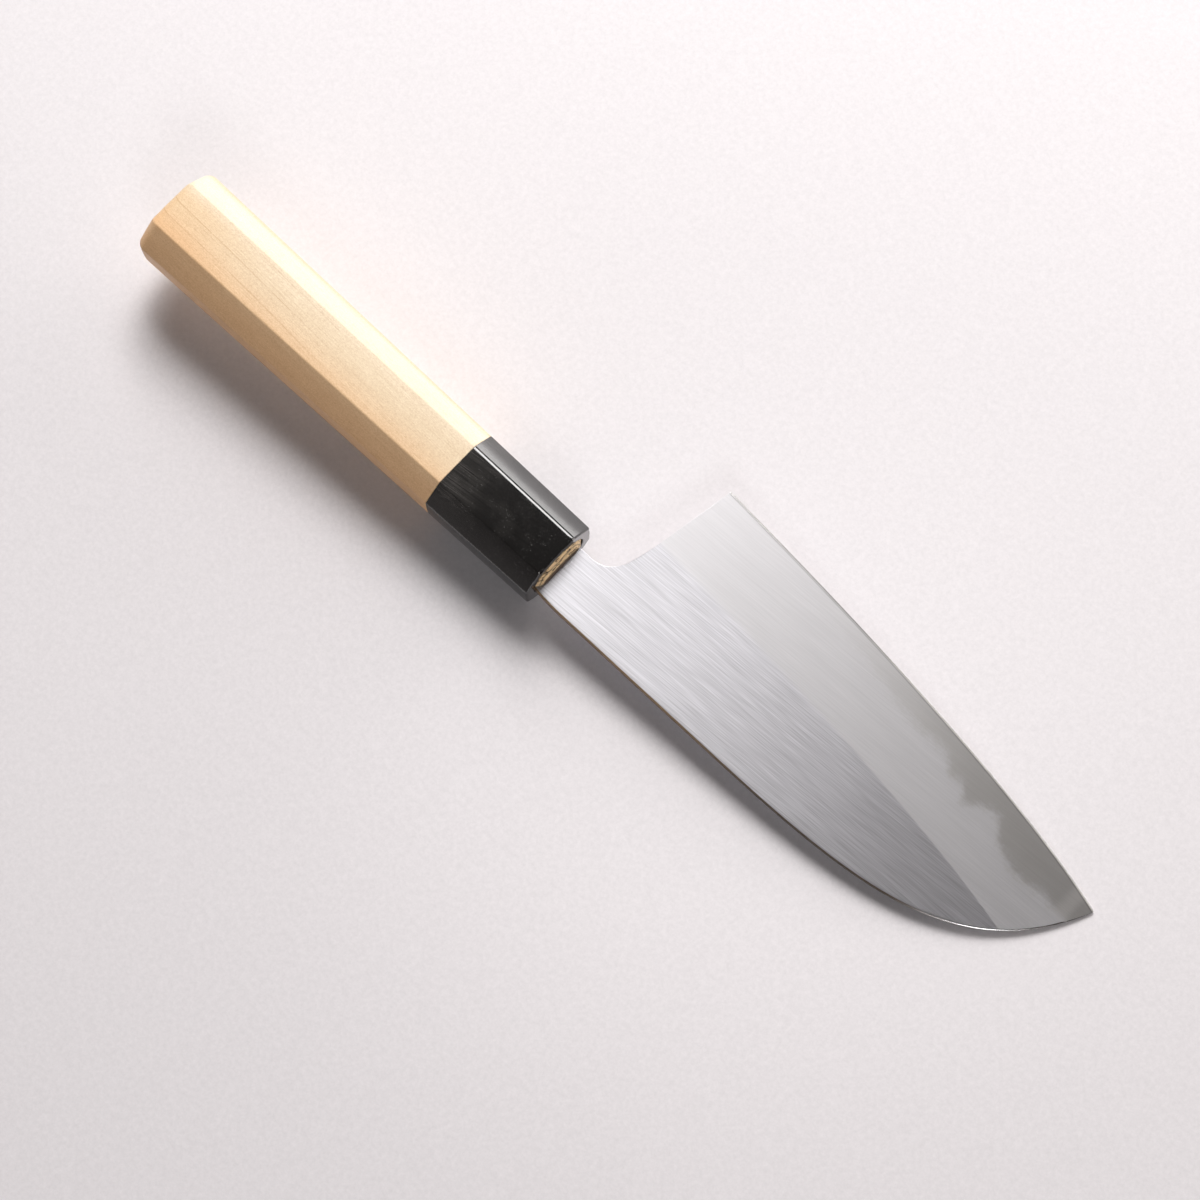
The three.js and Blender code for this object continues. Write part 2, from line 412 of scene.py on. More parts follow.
@dataclass(frozen=True)
class BladeSteel:
    """Finishes of the blade: brushed flat, misty bevel, darker core, keen edge and spine.

    The flat's lines run lengthwise at a slight slant, and its colour is brightened along its middle and
    darkened towards the tip by a painted reflection. The core meets the bevel in a soft, cloudy border. The
    spine is brown from the forge behind, and ground bright where it curves down to the tip, its bright
    colour there partly a painted highlight. The keen edge carries painted shade towards the heel and a
    painted highlight towards the tip, with a painted dark line of shade just behind it. Spans and bands are
    in millimetres along the knife, and those of the painted edge shade and the keen edge from the edge. A
    gain, or the lowest and highest gain of lines and mist, multiplies the colour.
    """

    name: str
    ridge_distance: float
    flat: Colour = (0.650, 0.642, 0.676, 1.0)
    bevel: Colour = (0.706, 0.694, 0.711, 1.0)
    core: Colour = (0.584, 0.567, 0.556, 1.0)
    # Painted light on the keen edge: the darker colour towards the heel is painted shade, and the near-white
    # colour towards the tip is a painted highlight.
    shaded_edge: Colour = (0.380, 0.370, 0.360, 1.0)
    keen: Colour = (0.990, 0.965, 0.920, 1.0)
    forged: Colour = (0.480, 0.345, 0.210, 1.0)
    scorched: Colour = (0.230, 0.190, 0.150, 1.0)
    # Ground bright steel on the spine near the tip; its near-white colour is partly a painted highlight.
    ground_highlight: Colour = (0.960, 0.945, 0.925, 1.0)
    flat_roughness: float = 0.43
    bevel_roughness: float = 0.54
    core_roughness: float = 0.44
    keen_roughness: float = 0.30
    spine_roughness: Span = (0.50, 0.15)
    line_roughness: float = 0.08
    brushing: float = 0.83
    score_depth: float = 0.010
    bevel_score: float = 0.25
    hair: Grain = Grain((0.08, 3.8, 1.0), math.radians(-2.5), 0.0)
    fine: Grain = Grain((0.14, 5.8, 1.0), math.radians(-3.25), 0.0)
    broad: Grain = Grain((0.018, 0.42, 1.0), math.radians(-1.25))
    line_shares: tuple[float, float, float] = (0.50, 0.47, 0.03)
    flat_lines: Span = (0.64, 1.36)
    bevel_lines: Span = (0.90, 1.10)
    core_lines: Span = (0.92, 1.08)
    mist: Grain = Grain((0.05, 0.35, 0.3), detail=3.0)
    bevel_mist: Span = (0.95, 1.05)
    # Painted reflection: the flat's colour brightens over this band along its middle and darkens towards the
    # tip.
    swell: Band = (10.0, 42.0, 74.0, 100.0)
    painted_reflection_gain: float = 1.10
    tip_shade_span: Span = (92.0, 122.0)
    tip_shade_loss: float = -0.07
    # Painted shade: a dark line just behind the keen edge, measured from the edge.
    edge_shade_band: Band = (0.36, 0.46, 0.56, 0.80)
    edge_shade_gain: float = 0.72
    soft: Grain = Grain((0.42, 0.80, 0.5), detail=3.0, rough=0.6)
    soft_reach: float = 4.2
    puff: Grain = Grain((1.30, 1.90, 0.5), detail=3.0, rough=0.65)
    puff_reach: float = 3.4
    border_blur: Span = (2.0, -1.8)
    core_fade: Span = (40.0, 114.0)
    tip_patch: Band = (134.5, 137.4, 138.2, 140.2)
    tip_patch_gain: float = 1.22
    keen_blur: Span = (0.44, 0.264)
    # Span along which the keen edge turns from painted shade to its painted highlight.
    edge_light_span: Span = (58.0, 88.0)
    scorching: Span = (35.0, 75.0)
    # Span along which the spine turns to its ground colour, partly a painted highlight.
    ground_highlight_span: Span = (106.0, 123.0)

    def make(self, rest: KnifeFrame) -> bpy.types.Material:
        """Builds the material, blending the zones' colours and roughness in turn.

        Args:
            rest: Frame of the resting knife.

        Returns:
            The node material.
        """
        s = Shader(self.name, rest)
        along, distance = s.mark("along"), s.mark("edge_distance")
        from_ridge = s.sums("SUBTRACT", distance, self.ridge_distance)
        on_flat = s.step(from_ridge, s.mark("ridge_blur_low"), s.mark("ridge_blur_high"))
        on_core = self.core_share(s)
        on_keen = s.step(distance, *self.keen_blur)
        on_spine = s.mark("spine")
        # The ground end of the spine: polished, and its bright colour partly a painted highlight.
        worn = s.step(along, *self.ground_highlight_span)
        lines = 0.0
        for grain, share in zip((self.hair, self.fine, self.broad), self.line_shares):
            lines = s.plus(lines, s.noise(grain), share)

        patch = s.spread(s.band(along, *self.tip_patch), 1.0, self.tip_patch_gain)
        body = s.blend(on_flat, self.bevel, self.flat)
        body = s.blend(on_core, body, s.tint(self.core, patch))
        body = s.tint(body, self.streaks(s, lines, on_flat, on_core))
        # The keen edge: painted shade towards the heel, painted highlight towards the tip.
        body = s.blend(on_keen, body, s.blend(s.step(along, *self.edge_light_span), self.shaded_edge, self.keen))
        back = s.blend(s.step(along, *self.scorching), self.forged, self.scorched)
        # The spine: forge brown behind, and near the tip a bright colour that is partly a painted highlight.
        s.dress(base_color=s.blend(on_spine, body, s.blend(worn, back, self.ground_highlight)), metallic=1.0)

        rough = s.between(on_flat, self.bevel_roughness, self.flat_roughness)
        rough = s.between(on_core, rough, self.core_roughness)
        rough = s.plus(rough, lines, self.line_roughness, 0.5)
        rough = s.between(on_keen, rough, self.keen_roughness)
        s.dress(roughness=s.between(on_spine, rough, s.between(worn, *self.spine_roughness)))
        tangent = s.add("ShaderNodeTangent", direction_type="UV_MAP", uv_map=GRAIN_MAP)
        s.dress(anisotropic=self.brushing, tangent=tangent.outputs[0])
        scored = s.product(lines, s.spread(on_flat, self.bevel_score, 1.0))
        s.dress(normal=s.relief(scored, self.score_depth))
        return s.material

    def streaks(self, s: Shader, lines: Socket, on_flat: Socket, on_core: Socket) -> Socket:
        """Gain on the colour: lines on the flat, mist on the bevel, faint lines on the core, and painted
        edge shade.

        The flat's colour is brightened along its middle and darkened towards the tip, a painted reflection.
        A painted dark line of shade runs just behind the keen edge.

        Args:
            s: The material being written.
            lines: The brushed lines, from 0 to 1.
            on_flat: Share of the flat.
            on_core: Share of the bare core.

        Returns:
            The gain.
        """
        along = s.mark("along")
        # Painted reflection: brighter along the flat's middle, darker towards the tip.
        swell = s.spread(s.band(along, *self.swell), 1.0, self.painted_reflection_gain)
        painted_reflection = s.plus(swell, s.step(along, *self.tip_shade_span), self.tip_shade_loss)
        brushed = s.product(s.spread(lines, *self.flat_lines), painted_reflection)
        misty = s.product(s.spread(s.noise(self.mist), *self.bevel_mist), s.spread(lines, *self.bevel_lines))
        streak = s.between(on_flat, misty, brushed)
        streak = s.between(on_core, streak, s.spread(lines, *self.core_lines))
        # Painted shade: a dark line just behind the keen edge.
        edge_shade_band = s.band(s.mark("edge_distance"), *self.edge_shade_band)
        return s.product(streak, s.spread(edge_shade_band, 1.0, self.edge_shade_gain))

    def core_share(self, s: Shader) -> Socket:
        """How far the bare core shows: past the border, blurred into clouds, fading in along the blade.

        Args:
            s: The material being written.

        Returns:
            The share, from 0 to 1.
        """
        cloud = s.plus(s.mark("border"), s.noise(self.soft), self.soft_reach, 0.5)
        cloud = s.plus(cloud, s.noise(self.puff), self.puff_reach, 0.5)
        return s.product(s.step(cloud, *self.border_blur), s.step(s.mark("along"), *self.core_fade))


@dataclass(frozen=True)
class BareWood:
    """Pale, finely sanded magnolia, warmer towards the blade's back where that is painted shade, and paler
    towards its edge where that is a painted highlight.

    A few thin growth lines run lengthwise at a slight slant, broken up and fading out towards the ferrule,
    among fine fibres, short flecks and a sandy mottling. Spans and bands named along or across are in
    millimetres of the handle, and a cut is where a noise turns from nothing to full. A tone is a share of
    the stain, and the sanding is the spread of red, green and blue.
    """

    name: str = "bare_magnolia"
    # Painted light across the handle: the warm colour is painted shade on the back side, and the pale colour
    # a painted highlight on the edge side.
    shaded_warm: Colour = (0.875, 0.560, 0.302, 1.0)
    middle: Colour = (0.835, 0.680, 0.475, 1.0)
    pale: Colour = (0.895, 0.790, 0.620, 1.0)
    honey: Colour = (1.000, 0.915, 0.815, 1.0)
    # Painted shade: a darker edge-side flank, which also dims the light it throws onto the table.
    shaded_flank: Colour = (0.720, 0.575, 0.405, 1.0)
    stain: Colour = (0.720, 0.600, 0.490, 1.0)
    end: Colour = (0.800, 0.570, 0.310, 1.0)
    # Char, and painted shade: round the slot where the gap to the blade's neck lies, inside the slot, along
    # a groove and in splits.
    char_and_shade_colour: Colour = (0.060, 0.032, 0.014, 1.0)
    # Spans across the handle for the painted shade on the back side and the painted highlight on the edge
    # side.
    shade_side_across: Span = (-11.0, 2.0)
    lit_side_across: Span = (0.5, 10.5)
    honey_along: Span = (-92.0, -122.0)
    honey_across: Band = (-8.0, -5.0, 3.0, 7.0)
    # Span of girth over which the edge-side flank takes its painted shade.
    shaded_flank_girth: Span = (0.86, 1.0)
    slant: float = math.radians(2.0)
    ring_width: float = 4.1
    ring_tilt: float = 0.55
    bend: Grain = Grain((0.012, 0.10, 0.10), slant)
    bend_reach: float = 3.0
    ring_power: float = 3.0
    ring_tone: Span = (0.26, 0.32)
    line_cut: Band = (0.88, 0.97, 0.97, 1.0)
    line_along: Span = (-62.0, -92.0)
    line_across: Band = (-7.0, -5.5, 4.5, 5.5)
    line_tone: float = 0.46
    breaks: Grain = Grain((0.30, 0.25, 0.25), slant, 3.0, 0.7)
    break_cut: Span = (0.20, 0.62)
    fibre: Grain = Grain((0.05, 2.2, 2.2), slant, 3.0, 0.6)
    fibre_middle: float = 0.44
    fibre_tone: float = 0.50
    fleck: Grain = Grain((0.42, 4.0, 4.0), slant, 1.0)
    fleck_cut: Span = (0.58, 0.74)
    fleck_tone: float = 0.22
    figure: Grain = Grain((0.30, 0.28, 0.28), 0.4, 3.0, 0.55)
    figure_tone: float = 0.20
    sand: Grain = Grain((2.6, 5.0, 5.0), slant, 2.0, 0.7)
    sanding: tuple[float, float, float] = (0.28, 0.40, 0.52)
    coarse: Grain = Grain((0.6, 2.2, 2.2), detail=3.0, rough=0.7)
    coarse_gain: Span = (0.60, 1.40)
    vein: Grain = Grain((0.2, 0.28, 0.9))
    split_cut: Span = (0.030, 0.006)
    roughness: Span = (0.42, 0.58)
    specular: float = 0.60
    fleck_sink: float = -0.5
    relief_depth: float = 0.05
    relief_strength: float = 0.6

    def make(self, rest: KnifeFrame) -> bpy.types.Material:
        """Builds the material: the base colour, stained by the grain, sanded, cut, and darkened by char and
        painted shade.

        Args:
            rest: Frame of the resting knife.

        Returns:
            The node material.
        """
        s = Shader(self.name, rest)
        fibre, fleck, sand = s.noise(self.fibre), s.noise(self.fleck), s.noise(self.sand)
        clean = s.multiply(self.stain_share(s, fibre, fleck), self.ground_colour(s), self.stain)
        sanded = s.tint(clean, *(s.spread(sand, 1.0 - depth, 1.0 + depth) for depth in self.sanding))
        cut = s.blend(s.mark("end_grain"), sanded, self.end_grain(s))
        # Char and painted shade darken the tenon's end round the slot, along a groove and inside the slot.
        s.dress(base_color=s.blend(s.mark("char_and_shade"), cut, self.char_and_shade_colour))
        s.dress(roughness=s.spread(fibre, *self.roughness), specular_ior_level=self.specular)
        height = s.plus(fibre, fleck, self.fleck_sink)
        s.dress(normal=s.relief(height, self.relief_depth, self.relief_strength))
        return s.material

    def ground_colour(self, s: Shader) -> Socket:
        """The colour before its grain: warm painted shade to pale painted highlight across the handle, honey
        at the butt, and painted shade on the edge-side flank.

        Args:
            s: The material being written.

        Returns:
            The colour.
        """
        across = s.mark("across")
        # Painted light across the handle: warm painted shade on the back side, pale painted highlight on the
        # edge side.
        body = s.blend(s.step(across, *self.shade_side_across), self.shaded_warm, self.middle)
        body = s.blend(s.step(across, *self.lit_side_across), body, self.pale)
        near_butt = s.product(s.step(s.mark("along"), *self.honey_along), s.band(across, *self.honey_across))
        body = s.multiply(near_butt, body, self.honey)
        # Painted shade on the edge-side flank, which also dims the light it throws onto the table.
        return s.blend(s.step(s.mark("girth"), *self.shaded_flank_girth), body, self.shaded_flank)

    def stain_share(self, s: Shader, fibre: Socket, fleck: Socket) -> Socket:
        """How far the stain shows in growth rings, cut as tilted layers with a dark line where each ends.

        Args:
            s: The material being written.
            fibre: Noise of the fibres.
            fleck: Noise of the flecks.

        Returns:
            The share, from 0 to 1.
        """
        layer = s.add("ShaderNodeSeparateXYZ", {0: s.turned(self.slant)})
        tilted = s.plus(layer.outputs["Y"], layer.outputs["Z"], self.ring_tilt)
        bent = s.plus(tilted, s.noise(self.bend), self.bend_reach)
        ring = s.sums("FRACT", s.sums("DIVIDE", bent, self.ring_width))
        line = s.product(
            s.band(ring, *self.line_cut),
            s.step(s.noise(self.breaks), *self.break_cut),
            s.step(s.mark("along"), *self.line_along),
            s.band(s.mark("across"), *self.line_across),
        )
        tone = s.spread(s.sums("POWER", ring, self.ring_power), *self.ring_tone)
        tone = s.plus(tone, line, self.line_tone)
        tone = s.plus(tone, fibre, self.fibre_tone, self.fibre_middle)
        tone = s.plus(tone, s.step(fleck, *self.fleck_cut), self.fleck_tone)
        return s.clamp(s.plus(tone, s.noise(self.figure), self.figure_tone, 0.5))

    def end_grain(self, s: Shader) -> Socket:
        """The tenon's rough end: coarse tan wood, with dark splits painted as shade in cracks where a noise
        crosses its middle.

        Args:
            s: The material being written.

        Returns:
            The colour.
        """
        vein = s.sums("ABSOLUTE", s.sums("SUBTRACT", s.noise(self.vein), 0.5))
        tan = s.tint(self.end, s.spread(s.noise(self.coarse), *self.coarse_gain))
        # Painted shade in the splits.
        return s.blend(s.step(vein, *self.split_cut), tan, self.char_and_shade_colour)


@dataclass(frozen=True)
class BlackHorn:
    """Polished black horn, with faint fibres that slant out of its rear end, a bloom and specks of dust.

    A reach is in millimetres from the rear end, and a cut is where a noise turns from nothing to full.
    """

    name: str = "polished_black_horn"
    body: Colour = (0.0060, 0.0058, 0.0056, 1.0)
    fibre: Colour = (0.075, 0.070, 0.066, 1.0)
    dust: Colour = (0.230, 0.225, 0.220, 1.0)
    rear: float = -31.7
    strand: Grain = Grain((0.06, 5.6, 5.6), math.radians(-7.0), 2.0, 0.6)
    strand_cut: Span = (0.38, 0.72)
    strand_reach: float = 13.0
    strand_gain: Span = (0.10, 0.90)
    patch: Grain = Grain((0.10, 0.16, 0.16))
    patch_cut: Span = (0.24, 0.54)
    haze: float = 0.14
    haze_reach: float = 26.0
    smear: Grain = Grain((0.14, 0.20, 0.20), 0.5, 3.0, 0.6)
    bloom: float = 0.13
    bloom_cut: Span = (0.40, 0.66)
    bloom_along: Span = (-3.0, -13.0)
    bloom_middle: float = 0.30
    grit: Grain = Grain((1.9, 2.2, 2.2), detail=3.0, rough=0.75)
    grit_cut: Span = (0.58, 0.72)
    smear_cut: Span = (0.42, 0.62)
    smear_gain: Span = (0.25, 1.0)
    dust_share: float = 0.31
    speck: Grain = Grain((2.0, 2.0, 2.0), rough=0.6)
    gloss_roughness: float = 0.11
    speck_roughness: float = 0.06
    index: float = 2.05
    strand_relief: float = 0.3
    relief_depth: float = 0.012
    relief_strength: float = 0.5

    def make(self, rest: KnifeFrame) -> bpy.types.Material:
        """Builds the material: black, paler where fibres, haze and bloom show, with dust on top.

        Args:
            rest: Frame of the resting knife.

        Returns:
            The node material.
        """
        s = Shader(self.name, rest)
        along = s.mark("along")
        strand, patch, smear = s.noise(self.strand), s.noise(self.patch), s.noise(self.smear)
        near_rear = s.step(along, self.rear + self.strand_reach, self.rear)
        pale = s.product(
            s.step(strand, *self.strand_cut),
            s.spread(near_rear, *self.strand_gain),
            s.step(patch, *self.patch_cut),
        )
        pale = s.plus(pale, s.step(along, self.rear + self.haze_reach, self.rear), self.haze)
        bloom = s.product(s.step(smear, *self.bloom_cut), s.step(along, *self.bloom_along))
        pale = s.clamp(s.plus(pale, bloom, self.bloom, self.bloom_middle))
        dust = s.product(
            s.step(s.noise(self.grit), *self.grit_cut),
            s.spread(s.step(smear, *self.smear_cut), *self.smear_gain),
            self.dust_share,
        )
        s.dress(base_color=s.blend(dust, s.blend(pale, self.body, self.fibre), self.dust))
        rough = s.plus(self.gloss_roughness, s.noise(self.speck), self.speck_roughness, 0.5)
        s.dress(roughness=rough, ior=self.index)
        height = s.plus(patch, strand, self.strand_relief)
        s.dress(normal=s.relief(height, self.relief_depth, self.relief_strength))
        return s.material


@dataclass(frozen=True)
class OctagonGrip:
    """The handle's outer form: a flattened octagon, narrower at the mouth, with eased arrises."""

    length: float = 125.5
    thickness: float = 18.5
    butt_width: float = 24.5
    butt_chamfer: Span = (5.8, 5.2)
    mouth_width: float = 21.1
    mouth_chamfer: Span = (4.9, 4.5)
    butt_rounding: float = 3.0
    ferrule_length: float = 31.7
    rim_rounding: float = 0.9
    arris: float = 0.9
    arris_limit: float = 0.45
    corner_wear: tuple[float, ...] = (1.0,) * 8
    crown: float = 0.10
    arc_points: int = 8
    flat_points: int = 7

    @property
    def ring_points(self) -> int:
        """Points in one ring."""
        return 8 * (self.arc_points + self.flat_points)

    def share(self, x: Array) -> Array:
        """How far x lies along the handle, from 0 at the butt to 1 at the mouth."""
        return (x + self.length) / self.length

    def half_width(self, x: Array) -> Array:
        """Half the handle's width at x."""
        return (self.butt_width + (self.mouth_width - self.butt_width) * self.share(x)) / 2.0

    def rings(self, x: Array, inset: Array | float = 0.0) -> Array:
        """Octagons with an arc at each corner.

        Each arc has its centre inside the corner, on the line that halves it, and turns from the normal of
        one side to the normal of the next. The flats between arcs get points that crowd towards their ends.

        Args:
            x: Places along the handle, one for each ring.
            inset: How far each ring is drawn in, for rounded ends.

        Returns:
            Array of len(x) by ring_points by 3.
        """
        inset = np.broadcast_to(inset, x.shape)
        share = self.share(x)
        wide = self.half_width(x) - inset
        high = np.full_like(x, self.thickness / 2.0) - inset
        drawn = inset * (1.0 - math.tan(math.pi / 8.0))
        chamfer = [a + (b - a) * share - drawn for a, b in zip(self.butt_chamfer, self.mouth_chamfer)]
        flat, side = wide - chamfer[0], high - chamfer[1]
        y = np.stack([wide, wide, flat, -flat, -wide, -wide, -flat, flat], axis=1)
        z = np.stack([-side, side, high, high, side, -side, -high, -high], axis=1)
        normal = np.arctan2(y - np.roll(y, -1, axis=1), np.roll(z, -1, axis=1) - z)
        before = np.roll(normal, 1, axis=1)
        turn = (normal - before + np.pi) % (2.0 * np.pi) - np.pi
        radius = np.minimum(self.arris * np.array(self.corner_wear), self.arris_limit * side[:, None])
        back_off = radius / np.cos(turn / 2.0)
        middle = before + turn / 2.0
        angle = before[..., None] + turn[..., None] * np.linspace(0.0, 1.0, self.arc_points)
        arc_y = (y - back_off * np.cos(middle))[..., None] + radius[..., None] * np.cos(angle)
        arc_z = (z - back_off * np.sin(middle))[..., None] + radius[..., None] * np.sin(angle)
        crowd = (1.0 - np.cos(np.linspace(0.0, np.pi, self.flat_points + 2)[1:-1])) / 2.0
        swell = self.crown * 4.0 * crowd * (1.0 - crowd)
        sides = []
        for arc, lift in ((arc_y, np.cos(normal)), (arc_z, np.sin(normal))):
            start, end = arc[..., -1:], np.roll(arc[..., :1], -1, axis=1)
            flats = start + (end - start) * crowd + lift[..., None] * swell
            sides.append(np.concatenate([arc, flats], axis=2).reshape(len(x), -1))
        return np.stack([np.broadcast_to(x[:, None], sides[0].shape), *sides], axis=2)

    def girth(self, rings: Array) -> Array:
        """Each point's y as a share of the handle's half width there."""
        return rings[..., 1] / self.half_width(rings[..., 0])

    def rounded_end(self, end: float, inward: float, radius: float, steps: int) -> Array:
        """Rings over a rounded end: a quarter turn in which x moves inward as the ring swells."""
        turn = np.linspace(0.0, np.pi / 2.0, steps)
        return self.rings(end + inward * radius * (1.0 - np.cos(turn)), radius * (1.0 - np.sin(turn)))


@dataclass(frozen=True)
class OvalFit:
    """The oval tenon at the front of the wood, and the bore that slides on it."""

    width: float = 16.2
    height: float = 14.4
    recess: float = 0.4
    clearance: float = 0.05

    def rings(self, x: Array, turn: Array, grow: Array | float = 0.0) -> Array:
        """Ovals at the places x, with points at the given turns about the axis.

        Args:
            x: Places along the handle, one for each ring.
            turn: Angles about the axis, one for each point.
            grow: How far each ring is widened.

        Returns:
            Array of len(x) by len(turn) by 3.
        """
        grow = np.broadcast_to(grow, x.shape)[:, None]
        y = (self.width / 2.0 + grow) * np.cos(turn)[None, :]
        z = (self.height / 2.0 + grow) * np.sin(turn)[None, :]
        return np.stack([np.broadcast_to(x[:, None], y.shape), y, z], axis=2)


def morph(first: Array, second: Array, shares: Array) -> Array:
    """Rings between two rings, at the given shares of the straight way from one to the other."""
    return first[None] + (second - first)[None] * shares[:, None, None]


@dataclass
class Handle:
    """The wooden body with its tenon and slot, and the black ferrule on it.

    A turn is an angle about the handle's axis. On the tenon's end, a share is a part of the way from the rim
    to the slot. A slot or span of two numbers holds width and thickness, or a start and an end. A wave holds
    its direction in y and z, where it has one, its length and its phase.
    """

    grip: OctagonGrip
    oval: OvalFit
    rest: KnifeFrame
    seam: float = 0.02
    shoulder_ease: float = 0.10
    tang_length: float = 78.0
    slot_root: Span = (10.7, 2.8)
    slot_end: Span = (6.2, 2.2)
    slot_lead: float = 1.0
    tenon_break: Span = (0.3, 0.09)
    dome: float = 1.5
    chisel_marks: float = 0.16
    chisel_waves: tuple[Band, ...] = (
        (1.0, 0.6, 2.3, 0.4), (-0.2, 1.0, 1.1, 1.9), (1.0, -1.4, 3.7, 0.0), (1.0, 0.0, 0.8, 2.0),
    )
    # Painted shade: a dark line along a groove on the tenon's end.
    groove_shade: float = 0.75
    groove_shade_share: float = 0.30
    groove_shade_sway: float = 0.05
    groove_shade_waves: float = 5.0
    groove_shade_width: float = 0.045
    # Char and painted shade: a dark band round the slot, where the gap to the blade's neck lies.
    char_and_shade_shares: Span = (0.46, 0.70)
    char_and_shade_reach: Span = (5.6, 6.8)
    horn_crown: float = 0.06
    horn_arris: float = 1.6
    horn_wear: tuple[float, ...] = (0.35, 0.35, 1.0, 0.35, 0.35, 0.35, 0.35, 0.35)
    horn_rim: float = 0.5
    rear_ease: float = 0.06
    rim_wear: float = 0.16
    rim_waves: tuple[Span, ...] = ((0.37, 0.3), (0.9, 1.0), (0.21, 2.2), (2.1, 0.7))
    chip_turn: float = 2.05
    chip_width: float = 0.06
    chip_depth: float = 0.55
    mouth_depths: tuple[float, ...] = (0.0, -0.10, -0.30)
    mouth_flares: tuple[float, ...] = (0.30, 0.09, 0.0)
    bore_start: float = -2.0
    butt_rings: int = 9
    rounding_rings: int = 12
    body_rings: int = 48
    end_rings: int = 26
    horn_rings: int = 30
    rim_rings: int = 10
    front_rings: int = 8
    bore_rings: int = 6
    rear_rings: int = 5

    def turns(self) -> Array:
        """The turn about the axis of each point of a ring, as seen on the octagon at the shoulder."""
        ring = self.grip.rings(np.array([-self.grip.ferrule_length]))[0]
        return np.arctan2(ring[:, 2] / self.oval.height, ring[:, 1] / self.oval.width)

    def slot_rings(self, x: Array) -> Array:
        """Rectangles of the tang's slot: each direction is pushed out to the nearer pair of sides.

        Args:
            x: Places along the handle, one for each ring.

        Returns:
            Array of len(x) by ring points by 3.
        """
        turn = self.turns()
        reach = np.maximum(np.abs(np.cos(turn)), np.abs(np.sin(turn)))
        share = np.clip((-self.oval.recess - x) / self.tang_length, 0.0, 1.0)[:, None]
        wide, high = [a + (b - a) * share for a, b in zip(self.slot_root, self.slot_end)]
        y = wide / 2.0 * (np.cos(turn) / reach)[None, :]
        z = high / 2.0 * (np.sin(turn) / reach)[None, :]
        return np.stack([np.broadcast_to(x[:, None], y.shape), y, z], axis=2)

    def end_face(self, rim: Array, slot: Array) -> tuple[Array, Array]:
        """The tenon's domed and chiselled end, darkened by char and painted shade round the slot, and by
        painted shade along a groove.

        Args:
            rim: The tenon's last ring.
            slot: The slot's first ring.

        Returns:
            Rings from the rim to the slot, and how far each point is darkened by char and painted shade.
        """
        shares = np.linspace(0.0, 1.0, self.end_rings)[1:-1]
        rings = morph(rim, slot, shares)
        share, y, z = shares[:, None], rings[..., 1], rings[..., 2]
        waves = [(a * y + b * z, length, phase) for a, b, length, phase in self.chisel_waves]
        rings[..., 0] = -self.oval.recess + self.dome * np.sin(np.pi / 2.0 * share)
        rings[..., 0] += self.chisel_marks * ripple(*waves) * np.sin(np.pi * share)
        # Painted shade along a groove on the tenon's end.
        path = self.groove_shade_share + self.groove_shade_sway * np.sin(self.groove_shade_waves * self.turns())
        groove_shade = self.groove_shade * np.exp(-(((share - path) / self.groove_shade_width) ** 2))
        # Char and painted shade in a band round the slot.
        charred_and_shaded = ease(*self.char_and_shade_shares, share) * (1.0 - ease(*self.char_and_shade_reach, np.abs(y)))
        return rings, np.maximum(charred_and_shaded, groove_shade)

    def wooden_skin(self) -> Skin:
        """The wood as one run of rings: butt face, rounding, body, shoulder, tenon, end grain and slot.

        Returns:
            The closed skin, marked where it is end grain and where it is darkened by char and painted shade.
        """
        grip, oval, turn = self.grip, self.oval, self.turns()
        shoulder, tenon_end = -grip.ferrule_length, -oval.recess
        rounding = grip.rounded_end(-grip.length, 1.0, grip.butt_rounding, self.rounding_rings)
        centre = np.broadcast_to(rounding[0].mean(axis=0), rounding[0].shape)
        butt = morph(centre, rounding[0], np.linspace(0.0, 1.0, self.butt_rings)[:-1])
        start, stop = -grip.length + grip.butt_rounding, shoulder - self.shoulder_ease
        body = grip.rings(np.linspace(start, stop, self.body_rings)[1:])
        eased = grip.rings(np.array([shoulder]), self.shoulder_ease)
        wide, narrow = self.tenon_break
        tenon = oval.rings(np.array([shoulder, (shoulder + tenon_end) / 2.0, tenon_end - wide]), turn)
        rim = oval.rings(np.array([tenon_end - narrow, tenon_end]), turn, np.array([-narrow, -wide]))
        inside = np.linspace(tenon_end - self.slot_lead, tenon_end - self.tang_length, self.bore_rings)
        slot = self.slot_rings(np.concatenate([[tenon_end + self.dome], inside]))
        end, charred_and_shaded = self.end_face(rim[-1], slot[0])
        last = np.broadcast_to(slot[-1].mean(axis=0), (1, *slot[-1].shape))
        rings = np.concatenate([butt, rounding, body, eased, tenon, rim, end, slot, last])
        opened = len(rings) - len(slot) - 1
        grain, char_and_shade = np.zeros((2, *rings.shape[:2]))
        grain[opened - len(end) - len(rim):] = 1.0
        # Char and painted shade round the slot and along the groove, and over the whole slot inside.
        char_and_shade[opened - len(end):opened] = charred_and_shaded
        char_and_shade[opened:] = 1.0
        return Skin(rings, {"end_grain": grain, "char_and_shade": char_and_shade, "girth": grip.girth(rings)})

